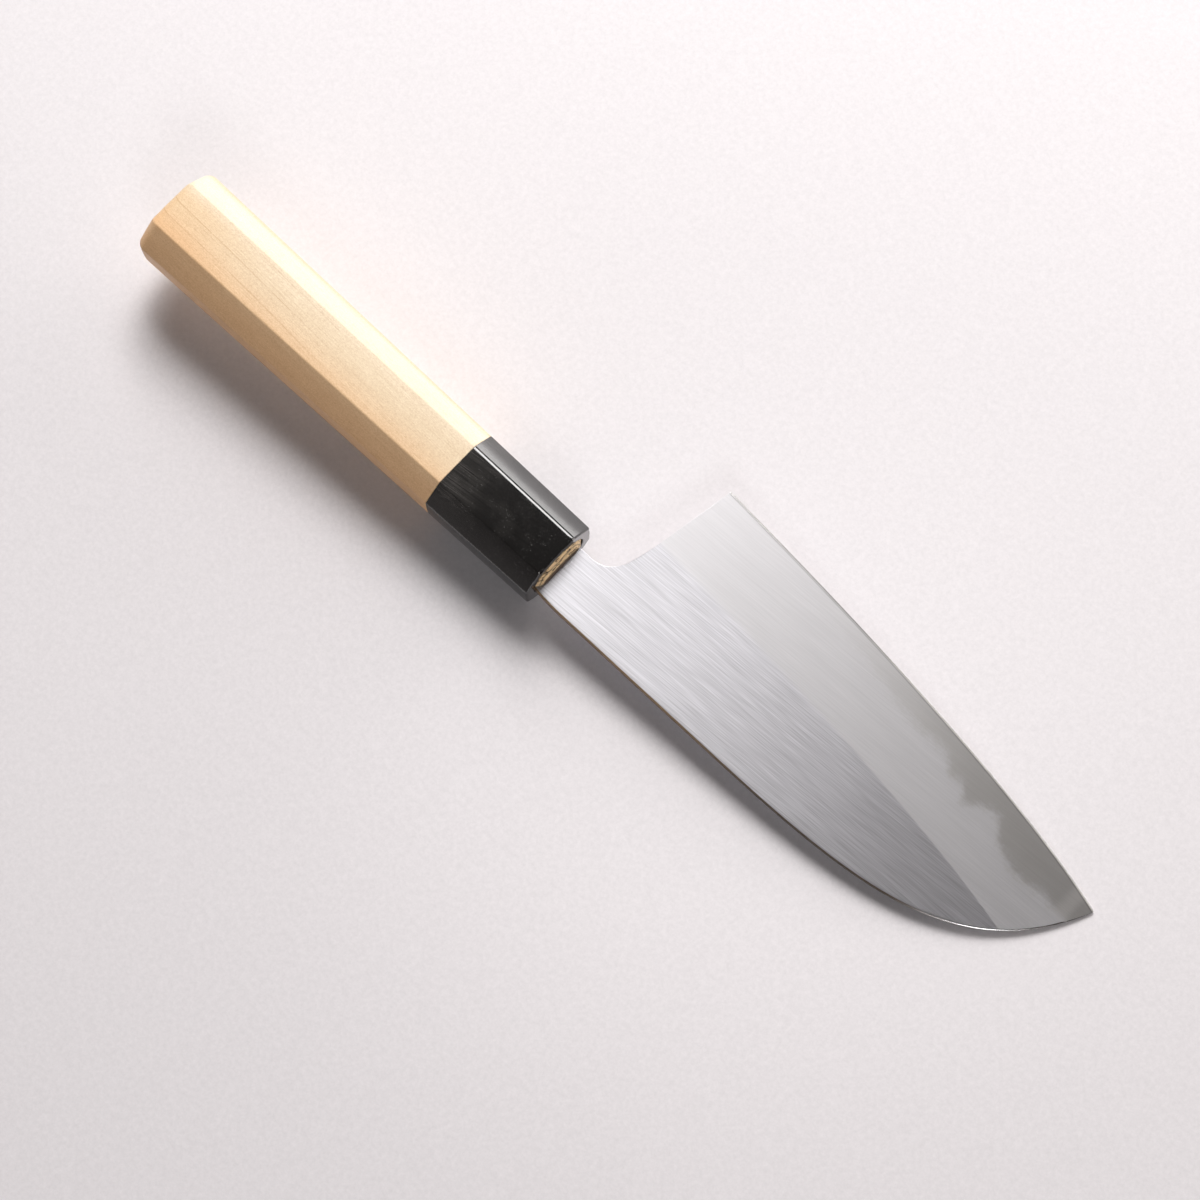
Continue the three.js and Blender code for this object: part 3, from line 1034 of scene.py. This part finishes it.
    def ferrule_skin(self) -> Skin:
        """The ferrule as rings round its wall: outside, worn rim, front face, bore and rear face.

        Returns:
            The closed skin, as a hoop.
        """
        grip = replace(self.grip, crown=self.horn_crown, arris=self.horn_arris, corner_wear=self.horn_wear)
        oval, turn = self.oval, self.turns()
        rear = -grip.ferrule_length + self.seam
        eased = grip.rings(np.array([rear, rear + self.rear_ease]), np.array([self.rear_ease, 0.0]))
        outside = grip.rings(np.linspace(rear + 2.0 * self.rear_ease, -self.horn_rim, self.horn_rings)[:-1])
        rim = grip.rounded_end(0.0, -1.0, self.horn_rim, self.rim_rings)[::-1]
        worn = ripple(*((turn, length, phase) for length, phase in self.rim_waves))
        swell = np.sin(np.linspace(0.0, np.pi, len(rim)))
        chip = np.exp(-(((turn - self.chip_turn) / self.chip_width) ** 2))
        rim[..., 0] += swell[:, None] * (self.rim_wear * worn - self.chip_depth * chip)[None, :]
        mouth = oval.rings(np.array(self.mouth_depths), turn, np.array(self.mouth_flares) + oval.clearance)
        front = morph(rim[-1], mouth[0], np.linspace(0.0, 1.0, self.front_rings)[1:-1])
        bore = oval.rings(np.linspace(self.bore_start, rear, self.bore_rings), turn, oval.clearance)
        back = morph(bore[-1], eased[0], np.linspace(0.0, 1.0, self.rear_rings)[1:-1])
        return Skin(np.concatenate([eased, outside, rim, front, mouth, bore, back]), hoop=True)

    def build(self) -> list[Piece]:
        """Builds and dresses both pieces.

        Returns:
            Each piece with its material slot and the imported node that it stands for.
        """
        wood = self.wooden_skin().build("bare_wooden_handle", self.rest)
        wood.data.materials.append(BareWood().make(self.rest))
        ring = self.ferrule_skin().build("polished_horn_ferrule", self.rest)
        ring.data.materials.append(BlackHorn(rear=-self.grip.ferrule_length).make(self.rest))
        return [(wood, Slot.WOOD, "wooden_handle"), (ring, Slot.HORN, "ferrule")]


@dataclass(frozen=True)
class BladeForm:
    """The blade's outline, and its thickness as a height over that outline.

    The back's stops are the lengths along it at which the sections of the neck, the choil, the heel line and
    the edge begin.
    """

    edge_length: float = 125.7
    heel_setback: float = 17.1
    heel_height: float = 48.4
    tip_rise: float = 15.6
    back_offset: float = 8.4
    neck_dip: float = 0.6
    neck_width: float = 14.1
    neck_start: float = -0.5
    heel_lean: float = math.radians(9.6)
    choil_along_neck: float = 6.5
    choil_up_heel: float = 10.7
    belly_reach: float = 34.9
    belly_rise: float = 10.2
    back_curve_reach: float = 88.8
    back_curve_lead: float = 47.3
    tip_curve_lead: float = 33.7
    tip_curve_angle: float = math.radians(65.9)
    bevel_width: float = 20.5
    neck_thickness: float = 3.0
    ridge_thickness: float = 2.6
    tip_thickness: float = 0.95
    edge_thickness: float = 0.25
    keen_thickness: float = 0.03
    keen_width: float = 0.38
    ridge_blur_heel: float = 0.09
    ridge_blur_tip: float = 0.012
    ridge_blur_span: Span = (40.0, 110.0)
    tang_length: float = 78.0
    tang_root: Span = (10.5, 2.6)
    tang_end: Span = (6.0, 2.0)
    tang_front: float = -0.8
    tang_gap: float = 0.02
    back_stops: tuple[float, ...] = (0.0, 3.0, 6.5, 22.5)
    section_counts: tuple[int, ...] = (10, 26, 34, 380)
    tang_sections: int = 12
    neck_points: int = 20
    sweep_points: int = 400
    edge_points: int = 600

    @property
    def heel(self) -> Point:
        """The corner where the cutting edge starts."""
        return self.heel_setback, self.heel_height - self.back_offset

    @property
    def tip(self) -> Point:
        """The point of the blade."""
        return self.heel_setback + self.edge_length, self.heel[1] - self.tip_rise

    @property
    def belly(self) -> Point:
        """The control point that bends the cutting edge."""
        return self.tip[0] - self.belly_reach, self.tip[1] + self.belly_rise

    def heel_line(self, y: float) -> Point:
        """The point at height y on the slanted rear end of the blade."""
        return self.heel[0] - (self.heel[1] - y) * math.tan(self.heel_lean), y

    def back_path(self) -> Array:
        """The back from mouth to tip: a shallow dip at the neck, a straight run and one long sweep.

        Returns:
            Array of points by 2.
        """
        level = -self.back_offset
        joint = self.heel_line(level)
        start = (self.neck_start, level + self.neck_dip)
        neck = bezier([start, ((start[0] + joint[0]) / 2.0, level), joint], self.neck_points)
        turn = (self.tip[0] - self.back_curve_reach, level)
        lead = (turn[0] + self.back_curve_lead, level)
        fall_x = self.tip[0] - self.tip_curve_lead * math.cos(self.tip_curve_angle)
        fall_y = self.tip[1] - self.tip_curve_lead * math.sin(self.tip_curve_angle)
        sweep = bezier([turn, lead, (fall_x, fall_y), self.tip], self.sweep_points)
        return np.concatenate([neck, sweep])

    def sections(self) -> tuple[Array, Array]:
        """Where each section across the blade starts on the back and ends on the front.

        The front runs along the neck, round the choil, down the heel line and along the cutting edge, while
        the back end keeps pace so that the sections fan out round the heel. The tang comes first.

        Returns:
            Back points and front points, each an array of sections by 2.
        """
        neck_front = -self.back_offset + self.neck_dip + self.neck_width
        corner = self.heel_line(neck_front)
        bend = (corner[0] - self.choil_along_neck, neck_front)
        rise = self.heel_line(neck_front + self.choil_up_heel)
        counts = self.section_counts
        edge = bezier([self.heel, self.belly, self.tip], self.edge_points)
        fronts = [
            bezier([(self.neck_start, neck_front), bend], counts[0]),
            bezier([bend, corner, rise], counts[1]),
            bezier([rise, self.heel], counts[2]),
            run_along(edge, np.linspace(0.0, TIP_SHARE, counts[3])),
        ]
        path = self.back_path()
        whole = np.linalg.norm(np.diff(path, axis=0), axis=1).sum()
        stops = np.array([*self.back_stops, whole * TIP_SHARE]) / whole
        shares = [np.linspace(a, b, n) for a, b, n in zip(stops[:-1], stops[1:], counts)]
        back = np.concatenate([run_along(path, part)[1 if k else 0:] for k, part in enumerate(shares)])
        front = np.concatenate([part[1 if k else 0:] for k, part in enumerate(fronts)])
        tang = np.linspace(self.tang_front - self.tang_length, self.tang_front, self.tang_sections)
        x = np.append(tang, self.neck_start - self.tang_gap)
        half = self.tang_size(x)[0] / 2.0
        ends = ((-half, back), (half, front))
        return tuple(np.concatenate([np.stack([x, y], axis=1), blade]) for y, blade in ends)

    def in_tang(self, x: Array) -> Array:
        """Whether x lies behind the neck, in the tang."""
        return x < self.neck_start - self.tang_gap / 2.0

    def tang_size(self, x: Array) -> tuple[Array, Array]:
        """Width and thickness of the tang at x, both tapering evenly towards its end.

        Args:
            x: Places along the knife.

        Returns:
            The width and the thickness.
        """
        share = np.clip((self.tang_front - x) / self.tang_length, 0.0, 1.0)
        width, thickness = [a + (b - a) * share for a, b in zip(self.tang_root, self.tang_end)]
        return width, thickness

    def edge_height(self, x: Array) -> tuple[Array, Array]:
        """The cutting edge as y over x, solved from the curve's quadratic, and straight behind the heel.

        Args:
            x: Places along the knife.

        Returns:
            The edge's y and its slope there.
        """
        (x0, y0), (x1, y1), (x2, y2) = self.heel, self.belly, self.tip
        a, b, c = x0 - 2.0 * x1 + x2, 2.0 * (x1 - x0), x0 - np.clip(x, x0, x2)
        t = (-b + np.sqrt(b * b - 4.0 * a * c)) / (2.0 * a)
        y = y0 * (1.0 - t) ** 2 + 2.0 * y1 * t * (1.0 - t) + y2 * t * t
        slope = ((y1 - y0) * (1.0 - t) + (y2 - y1) * t) / ((x1 - x0) * (1.0 - t) + (x2 - x1) * t)
        return y + slope * (x - np.clip(x, x0, x2)), slope

    def edge_distance(self, x: Array, y: Array) -> Array:
        """Distance from the cutting edge, square to it."""
        edge, slope = self.edge_height(x)
        return (edge - y) / np.sqrt(1.0 + slope * slope)

    def flat_half(self, x: Array, y: Array) -> Array:
        """Half the thickness between the flats: a plane through the neck, the heel's ridge and the tip.

        Args:
            x: Places along the knife.
            y: Places across it.

        Returns:
            The half thickness.
        """
        ridge = self.heel_line(self.heel[1] - self.bevel_width)
        places = np.array([(0.0, -self.back_offset, 1.0), (*self.tip, 1.0), (*ridge, 1.0)])
        halves = np.array([self.neck_thickness, self.tip_thickness, self.ridge_thickness]) / 2.0
        plane = np.linalg.solve(places, halves)
        return plane[0] * x + plane[1] * y + plane[2]

    def half_thickness(self, x: Array, y: Array) -> Array:
        """Half the blade's thickness: the lowest of the flat, the bevel and the keen edge's own bevel.

        The bevel rises evenly from the edge to the ridge line. The crease at the ridge is blunt at the heel
        and crisp towards the tip. Behind the neck it is the tang's own taper.

        Args:
            x: Places along the knife.
            y: Places across it.

        Returns:
            The half thickness.
        """
        distance = self.edge_distance(x, y)
        edge, slope = self.edge_height(x)
        ridge_y = edge - self.bevel_width * np.sqrt(1.0 + slope * slope)
        low = self.edge_thickness / 2.0
        bevel = low + (self.flat_half(x, ridge_y) - low) * distance / self.bevel_width
        body = blunt_min(self.flat_half(x, y), bevel, self.ridge_blur(x))
        keen = self.keen_thickness / 2.0
        body = np.minimum(body, keen + (low - keen) * distance / self.keen_width + bevel - low)
        return np.where(self.in_tang(x), self.tang_size(x)[1] / 2.0, body)

    def ridge_blur(self, x: Array) -> Array:
        """Height over which the ridge line is rounded off, from the heel to the tip."""
        share = ease(*self.ridge_blur_span, x)
        return self.ridge_blur_heel + (self.ridge_blur_tip - self.ridge_blur_heel) * share


@dataclass(frozen=True)
class LayerBorder:
    """The wavy line on one bevel where cladding gives way to core, through listed points."""

    points: tuple[Point, ...]

    def height(self, x: Array) -> Array:
        """The line as y over x: cubic pieces through the points, each slope taken from its neighbours.

        Args:
            x: Places along the knife.

        Returns:
            The line's y there.
        """
        knots, values = np.array(self.points).T
        slopes = np.gradient(values, knots)
        at = np.clip(np.searchsorted(knots, x) - 1, 0, len(knots) - 2)
        gap = knots[at + 1] - knots[at]
        t = np.clip((x - knots[at]) / gap, 0.0, 1.0)
        start = values[at] * (1.0 + 2.0 * t) + slopes[at] * gap * t
        end = values[at + 1] * (3.0 - 2.0 * t) - slopes[at + 1] * gap * (1.0 - t)
        return start * (1.0 - t) ** 2 + end * t * t


LEFT_BORDER = LayerBorder((
    (-90.0, 45.0), (5.0, 38.6), (17.0, 37.4), (40.0, 35.2), (56.0, 33.2), (67.8, 31.7), (77.0, 29.9),
    (83.0, 28.9), (87.2, 28.5), (91.8, 28.8), (95.6, 27.9), (97.8, 25.6), (101.5, 25.9), (104.8, 22.9),
    (107.6, 24.7), (111.0, 25.8), (113.8, 24.8), (115.6, 22.0), (118.9, 20.6), (123.0, 18.7), (127.0, 18.7),
    (131.1, 19.6), (135.0, 18.9), (139.4, 18.6), (150.0, 17.6),
))
RIGHT_BORDER = LayerBorder((
    (-90.0, 45.0), (5.0, 38.4), (17.0, 37.2), (38.0, 34.6), (52.0, 33.4), (64.0, 30.4), (71.0, 31.0),
    (80.0, 28.6), (88.0, 29.4), (93.0, 26.2), (100.0, 26.6), (106.0, 24.0), (112.0, 24.8), (117.0, 21.4),
    (124.0, 20.6), (129.0, 18.4), (135.0, 19.2), (140.0, 17.8), (150.0, 17.0),
))


@dataclass
class LaminatedBlade:
    """The blade's three layers, cut from one outer surface so that they meet without a step.

    Each section is measured by s, from the back, and z. A layer border lies where the bevel meets the core,
    so the core's half thickness in a section is the blade's half thickness at its border.
    """

    form: BladeForm
    rest: KnifeFrame
    back_round: float = 0.45
    back_share: float = 0.3
    front_round: float = 0.20
    front_share: float = 0.7
    thinnest: float = 0.35
    least_run: float = 0.01
    spine_share: float = 0.8
    ridge_reach: float = 12.0
    cladding_crease: float = 24.0
    core_crease: float = 10.0
    flat_crowding: float = 1.5
    bare_crowding: float = 0.8
    probe_points: int = 500
    arc_points: int = 9
    flat_points: int = 30
    bevel_points: int = 34
    bare_points: int = 40
    weld_points: int = 7
    rise_points: int = 4

    def __post_init__(self) -> None:
        """Measures the sections that all three layers share."""
        self.back, self.front = self.form.sections()
        self.width = np.linalg.norm(self.front - self.back, axis=1)[:, None]
        self.across = (self.front - self.back) / self.width

    def spot(self, s: Array) -> tuple[Array, Array]:
        """The x and y of distances s along each section."""
        return tuple(self.back[:, k, None] + self.across[:, k, None] * s for k in range(2))

    def half(self, s: Array) -> Array:
        """Half the blade's thickness at distances s along each section.

        Args:
            s: Distances from the back, as an array of sections by points.

        Returns:
            The half thickness.
        """
        x, y = self.spot(s)
        tang = self.form.in_tang(self.back[:, :1])
        return np.where(tang, self.form.tang_size(x)[1] / 2.0, self.form.half_thickness(x, y))

    def limits(self, border: LayerBorder) -> tuple[Array, Array, Array]:
        """Where the cladding of one face ends in each section.

        The border is the last place, going from back to front, where y is still behind the border line.

        Args:
            border: The face's border line.

        Returns:
            The distance s of the cladding's front, the core's half thickness, and whether there is cladding.
        """
        count, whole = self.probe_points, self.width[:, 0]
        x, y = self.spot(np.linspace(0.0, 1.0, count)[None, :] * self.width)
        behind = border.height(x) - y
        last = np.clip(count - 1 - np.argmax(behind[:, ::-1] > 0.0, axis=1), 0, count - 2)
        row = np.arange(len(whole))
        first, second = behind[row, last], behind[row, last + 1]
        share = np.clip(first / np.maximum(first - second, TINY), 0.0, 1.0)
        reaches_front = behind[:, -1] > 0.0
        clad = behind[:, 0] > 0.0
        stop = np.where(reaches_front, whole, (last + share) / (count - 1) * whole)
        stop = np.where(clad, stop, 0.0)[:, None]
        core = self.half(stop)
        settled = np.argmax(~reaches_front)
        core[:settled] = core[settled]
        return stop, core, clad & (stop[:, 0] > self.thinnest)

    def loop(self, s: Sequence[Array], z: Sequence[Array]) -> tuple[Array, Array]:
        """Joins stretches of a section's outline into points of the knife frame.

        Args:
            s: Distances from the back, one array of sections by points for each stretch.
            z: Heights, likewise.

        Returns:
            Rings of points, and the joined distances.
        """
        rows = len(self.width)
        reach, height = [
            np.concatenate([np.broadcast_to(part, (rows, part.shape[1])) for part in parts], axis=1)
            for parts in (s, z)
        ]
        return np.stack([*self.spot(reach), height], axis=2), reach

    def marks(self, rings: Array, border: dict[Side, LayerBorder]) -> dict[str, Array]:
        """Values that the steel's finish reads: distance from the edge and from the layer border.

        Args:
            rings: The layer's points.
            border: Border line of each face.

        Returns:
            Named values for each point.
        """
        x, y, z = np.moveaxis(rings, 2, 0)
        line = np.where(z >= 0.0, border[Side.LEFT].height(x), border[Side.RIGHT].height(x))
        blur = self.form.ridge_blur(x) * self.ridge_reach
        values = {"edge_distance": self.form.edge_distance(x, y), "border": line - y}
        return {**values, "ridge_blur_low": -blur, "ridge_blur_high": blur}

    def cladding_skin(self, side: Side, border: dict[Side, LayerBorder]) -> Skin:
        """One cladding: up the back, over its rounding, across flat and bevel, and home along the weld.

        The back's rounding and the lip at the border are quarter turns. The flat's points crowd towards the
        ridge line, which lies the bevel's width from the edge.

        Args:
            side: Which face.
            border: Border line of each face.

        Returns:
            The closed skin.
        """
        stop, core, clad = self.limits(border[side])
        bend = np.clip(self.back_share * stop, 0.0, self.back_round)
        lip = np.clip(self.front_share * (self.half(stop) - core), 0.0, self.front_round)
        last = np.maximum(stop - lip, bend + 4.0 * self.least_run)
        far, near = [self.form.edge_distance(*self.spot(at)) for at in (np.zeros_like(stop), stop)]
        ridge = stop * (far - self.form.bevel_width) / np.maximum(far - near, TINY)
        ridge = np.clip(ridge, bend + 2.0 * self.least_run, last - self.least_run)
        shoulder = self.half(bend)
        base = np.maximum(shoulder - bend, core + self.back_share * (shoulder - core))

        arc = np.linspace(0.0, np.pi / 2.0, self.arc_points)[None, :]
        rise = np.linspace(0.0, 1.0, self.rise_points)[None, :-1]
        weld = np.linspace(1.0, 0.0, self.weld_points)[None, :]
        flat_share = 1.0 - (1.0 - np.linspace(0.0, 1.0, self.flat_points)[None, 1:]) ** self.flat_crowding
        flat = bend + (ridge - bend) * flat_share
        bevel = ridge + (last - ridge) * np.linspace(0.0, 1.0, self.bevel_points)[None, 1:]
        stretches = [
            (0.0 * rise * stop, core + (base - core) * rise),
            (bend * (1.0 - np.cos(arc)), base + (shoulder - base) * np.sin(arc)),
            (flat, self.half(flat)),
            (bevel, self.half(bevel)),
            (last + lip * np.sin(arc[:, 1:]), self.half(last) - lip + lip * np.cos(arc[:, 1:])),
            (stop * weld, core + 0.0 * weld),
        ]
        loop, reach = self.loop(*zip(*stretches))
        rings = loop[clad]
        rings[..., 2] *= side.value
        spine = (reach < self.spine_share * bend)[clad].astype(float)
        spine[:, -self.weld_points:] = 0.0
        return Skin(rings, {**self.marks(rings, border), "spine": spine}, crease=self.cladding_crease)

    def core_skin(self, border: dict[Side, LayerBorder]) -> Skin:
        """The core: the strip on the back, and on each face the hidden weld and the bare zone to the edge.

        Args:
            border: Border line of each face.

        Returns:
            The closed skin.
        """
        weld = np.linspace(0.0, 1.0, self.weld_points)[None, :]
        bare = np.linspace(0.0, 1.0, self.bare_points)[None, 1:] ** self.bare_crowding
        s, z = [], []
        for side in Side:
            stop, core, clad = self.limits(border[side])
            stop = np.where(clad[:, None], stop, 0.0)
            core = np.where(clad[:, None], core, self.half(np.zeros_like(stop)))
            out = stop + (self.width - stop) * bare
            face_s = np.concatenate([stop * weld, out], axis=1)
            face_z = np.concatenate([core + 0.0 * weld, np.minimum(self.half(out), core)], axis=1)
            s.append(face_s[:, ::side.value])
            z.append(face_z[:, ::side.value] * side.value)
        rings, reach = self.loop(s, z)
        spine = (reach < TINY).astype(float)
        return Skin(rings, {**self.marks(rings, border), "spine": spine}, crease=self.core_crease)

    def build(self) -> list[Piece]:
        """Builds and dresses the three layers.

        Returns:
            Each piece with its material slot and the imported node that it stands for.
        """
        border = {Side.LEFT: LEFT_BORDER, Side.RIGHT: RIGHT_BORDER}
        core = self.core_skin(border).build("core_steel_layer", self.rest)
        core.data.materials.append(BladeSteel("core_and_edge_steel", self.form.bevel_width).make(self.rest))
        pieces = [(core, Slot.CORE, "hard_steel_core")]
        finish = BladeSteel("brushed_cladding_steel", self.form.bevel_width).make(self.rest)
        for side in Side:
            name = side.name.lower()
            layer = self.cladding_skin(side, border).build(f"{name}_cladding_layer", self.rest)
            layer.data.materials.append(finish)
            pieces.append((layer, Slot.CLADDING, f"{name}_cladding"))
        return pieces


@dataclass(frozen=True)
class Softbox:
    """An area lamp that faces the knife."""

    name: str
    direction: tuple[float, float, float]
    distance: float
    size: tuple[float, float]
    power: float
    colour: tuple[float, float, float]

    def hang(self, target: Vector) -> None:
        """Adds the lamp at its distance from the target, turned to it, and out of the camera's sight.

        Args:
            target: The point that it faces.
        """
        lamp = bpy.data.lights.new(self.name, "AREA")
        lamp.shape = "RECTANGLE"
        lamp.size, lamp.size_y = self.size
        lamp.energy, lamp.color = self.power, self.colour
        towards = Vector(self.direction).normalized()
        side = Vector((0.0, 1.0, 0.0)).cross(towards).normalized()
        turn = Matrix((side, towards.cross(side), towards)).transposed().to_4x4()
        stand = bpy.data.objects.new(self.name, lamp)
        stand.matrix_world = Matrix.Translation(target + towards * self.distance) @ turn
        stand.visible_camera = False
        bpy.context.scene.collection.objects.link(stand)


@dataclass(frozen=True)
class Studio:
    """The pale table, the soft light and the camera above the knife."""

    target: tuple[float, float, float] = (0.003392, -0.01275, 0.005)
    azimuth: float = math.radians(56.07)
    elevation: float = math.radians(74.77)
    roll: float = math.radians(-13.07)
    distance: float = 0.7848
    lens: float = 102.0
    sensor: float = 36.0
    nearest: float = 0.01
    floor_half: float = 4.0
    floor_drop: float = 0.00008
    paper: Colour = (0.752, 0.722, 0.739, 1.0)
    paper_roughness: float = 0.9
    paper_specular: float = 0.15
    mottle: Grain = Grain((0.90, 0.90, 0.90), detail=4.0, rough=0.75)
    mottle_gain: Span = (0.87, 1.13)
    # Painted light: a pool of brighter paper round the blade.
    light_pool_middle: tuple[float, float, float] = (62.0, -6.0, -6.0)
    light_pool_reach: float = 135.0
    light_pool_gain: float = 1.10
    room: Colour = (0.050, 0.044, 0.042, 1.0)
    walls: Colour = (0.22, 0.20, 0.195, 1.0)
    wall_rise: Span = (0.05, 0.45)

    def camera(self) -> None:
        """Sets the camera by its angles about the target, then rolls it about its own axis."""
        flat, height = math.cos(self.elevation), math.sin(self.elevation)
        level = Vector((math.cos(self.azimuth), math.sin(self.azimuth), 0.0))
        back = Vector((level.y * flat, -level.x * flat, height))
        right = level * math.cos(self.roll) + back.cross(level) * math.sin(self.roll)
        eye = bpy.data.cameras.new("portrait_camera")
        eye.lens, eye.sensor_width = self.lens, self.sensor
        eye.clip_start = self.nearest
        stand = bpy.data.objects.new("portrait_camera", eye)
        turn = Matrix((right, back.cross(right), back)).transposed().to_4x4()
        stand.matrix_world = Matrix.Translation(Vector(self.target) + back * self.distance) @ turn
        bpy.context.scene.collection.objects.link(stand)
        bpy.context.scene.camera = stand

    def lights(self) -> None:
        """Hangs the lamps: a large key over the edge side, low cards round it, a cool window opposite."""
        boxes = [
            Softbox("key_softbox", (-0.42, 0.55, 0.73), 1.20, (0.98, 0.62), 13.3, (1.0, 0.985, 0.972)),
            Softbox("key_hot_middle", (-0.42, 0.55, 0.73), 1.18, (0.40, 0.50), 5.7, (1.0, 0.985, 0.972)),
            Softbox("low_card", (-0.10, 1.0, 0.13), 1.10, (1.5, 0.36), 5.3, (1.0, 0.98, 0.97)),
            Softbox("front_card", (0.82, 0.57, 0.10), 1.10, (0.20, 0.60), 4.5, (1.0, 0.95, 0.90)),
            Softbox("cool_window", (0.57, -0.49, 0.62), 1.60, (0.40, 0.50), 3.7, (0.96, 0.98, 1.0)),
        ]
        for box in boxes:
            box.hang(Vector(self.target))

    def world(self) -> None:
        """Gives the room a dim ceiling and paler walls, by the height of the direction looked in."""
        world = bpy.data.worlds.new("studio_room")
        world.use_nodes = True
        tree = world.node_tree
        where = tree.nodes.new("ShaderNodeTexCoord")
        split = tree.nodes.new("ShaderNodeSeparateXYZ")
        climb = tree.nodes.new("ShaderNodeMapRange")
        climb.interpolation_type = "SMOOTHSTEP"
        for key, height in zip(("From Min", "From Max"), self.wall_rise):
            climb.inputs[key].default_value = height
        mix = tree.nodes.new("ShaderNodeMix")
        mix.data_type = "RGBA"
        mix.inputs[6].default_value = self.walls
        mix.inputs[7].default_value = self.room
        tree.links.new(where.outputs["Generated"], split.inputs[0])
        tree.links.new(split.outputs["Z"], climb.inputs["Value"])
        tree.links.new(climb.outputs[0], mix.inputs[0])
        tree.links.new(mix.outputs[2], tree.nodes["Background"].inputs["Color"])
        bpy.context.scene.world = world

    def floor(self, rest: KnifeFrame) -> None:
        """Lays the pale paper just under the knife, mottled, and brightened round the blade by a painted
        pool of light.

        Args:
            rest: Frame of the resting knife.
        """
        half, low = self.floor_half, -self.floor_drop
        mesh = bpy.data.meshes.new("pale_table")
        corners = [(-half, -half, low), (half, -half, low), (half, half, low), (-half, half, low)]
        mesh.from_pydata(corners, [], [(0, 1, 2, 3)])
        table = bpy.data.objects.new("pale_table", mesh)
        s = Shader("pale_paper", rest)
        # Painted light: the paper's colour brightens in a pool round the blade.
        away = s.add("ShaderNodeVectorMath", {0: s.knife, 1: self.light_pool_middle}, operation="DISTANCE")
        painted_light_pool = s.spread(s.step(away.outputs["Value"], self.light_pool_reach, 0.0), 1.0, self.light_pool_gain)
        mottled = s.spread(s.noise(self.mottle), *self.mottle_gain)
        s.dress(base_color=s.tint(self.paper, s.product(painted_light_pool, mottled)))
        s.dress(roughness=self.paper_roughness, specular_ior_level=self.paper_specular)
        mesh.materials.append(s.material)
        bpy.context.scene.collection.objects.link(table)

    def build(self, rest: KnifeFrame) -> None:
        """Sets up everything round the knife.

        Args:
            rest: Frame of the resting knife.
        """
        self.camera()
        self.lights()
        self.world()
        self.floor(rest)
        bpy.context.scene.view_settings.view_transform = "Standard"


def main() -> None:
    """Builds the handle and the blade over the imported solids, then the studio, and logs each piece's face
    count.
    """
    logging.basicConfig(level=logging.INFO, format="%(name)s: %(message)s")
    grip, form = OctagonGrip(), BladeForm()
    rest = KnifeFrame.at_rest(grip, form)
    pieces = Handle(grip, OvalFit(), rest).build() + LaminatedBlade(form, rest).build()
    for piece, slot, node in pieces:
        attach(piece, "root")
        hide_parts(node)
        LOG.info("%s stands for %s with %d faces", piece.name, node, len(piece.data.polygons))
    Studio().build(rest)


if __name__ == "__main__":
    main()
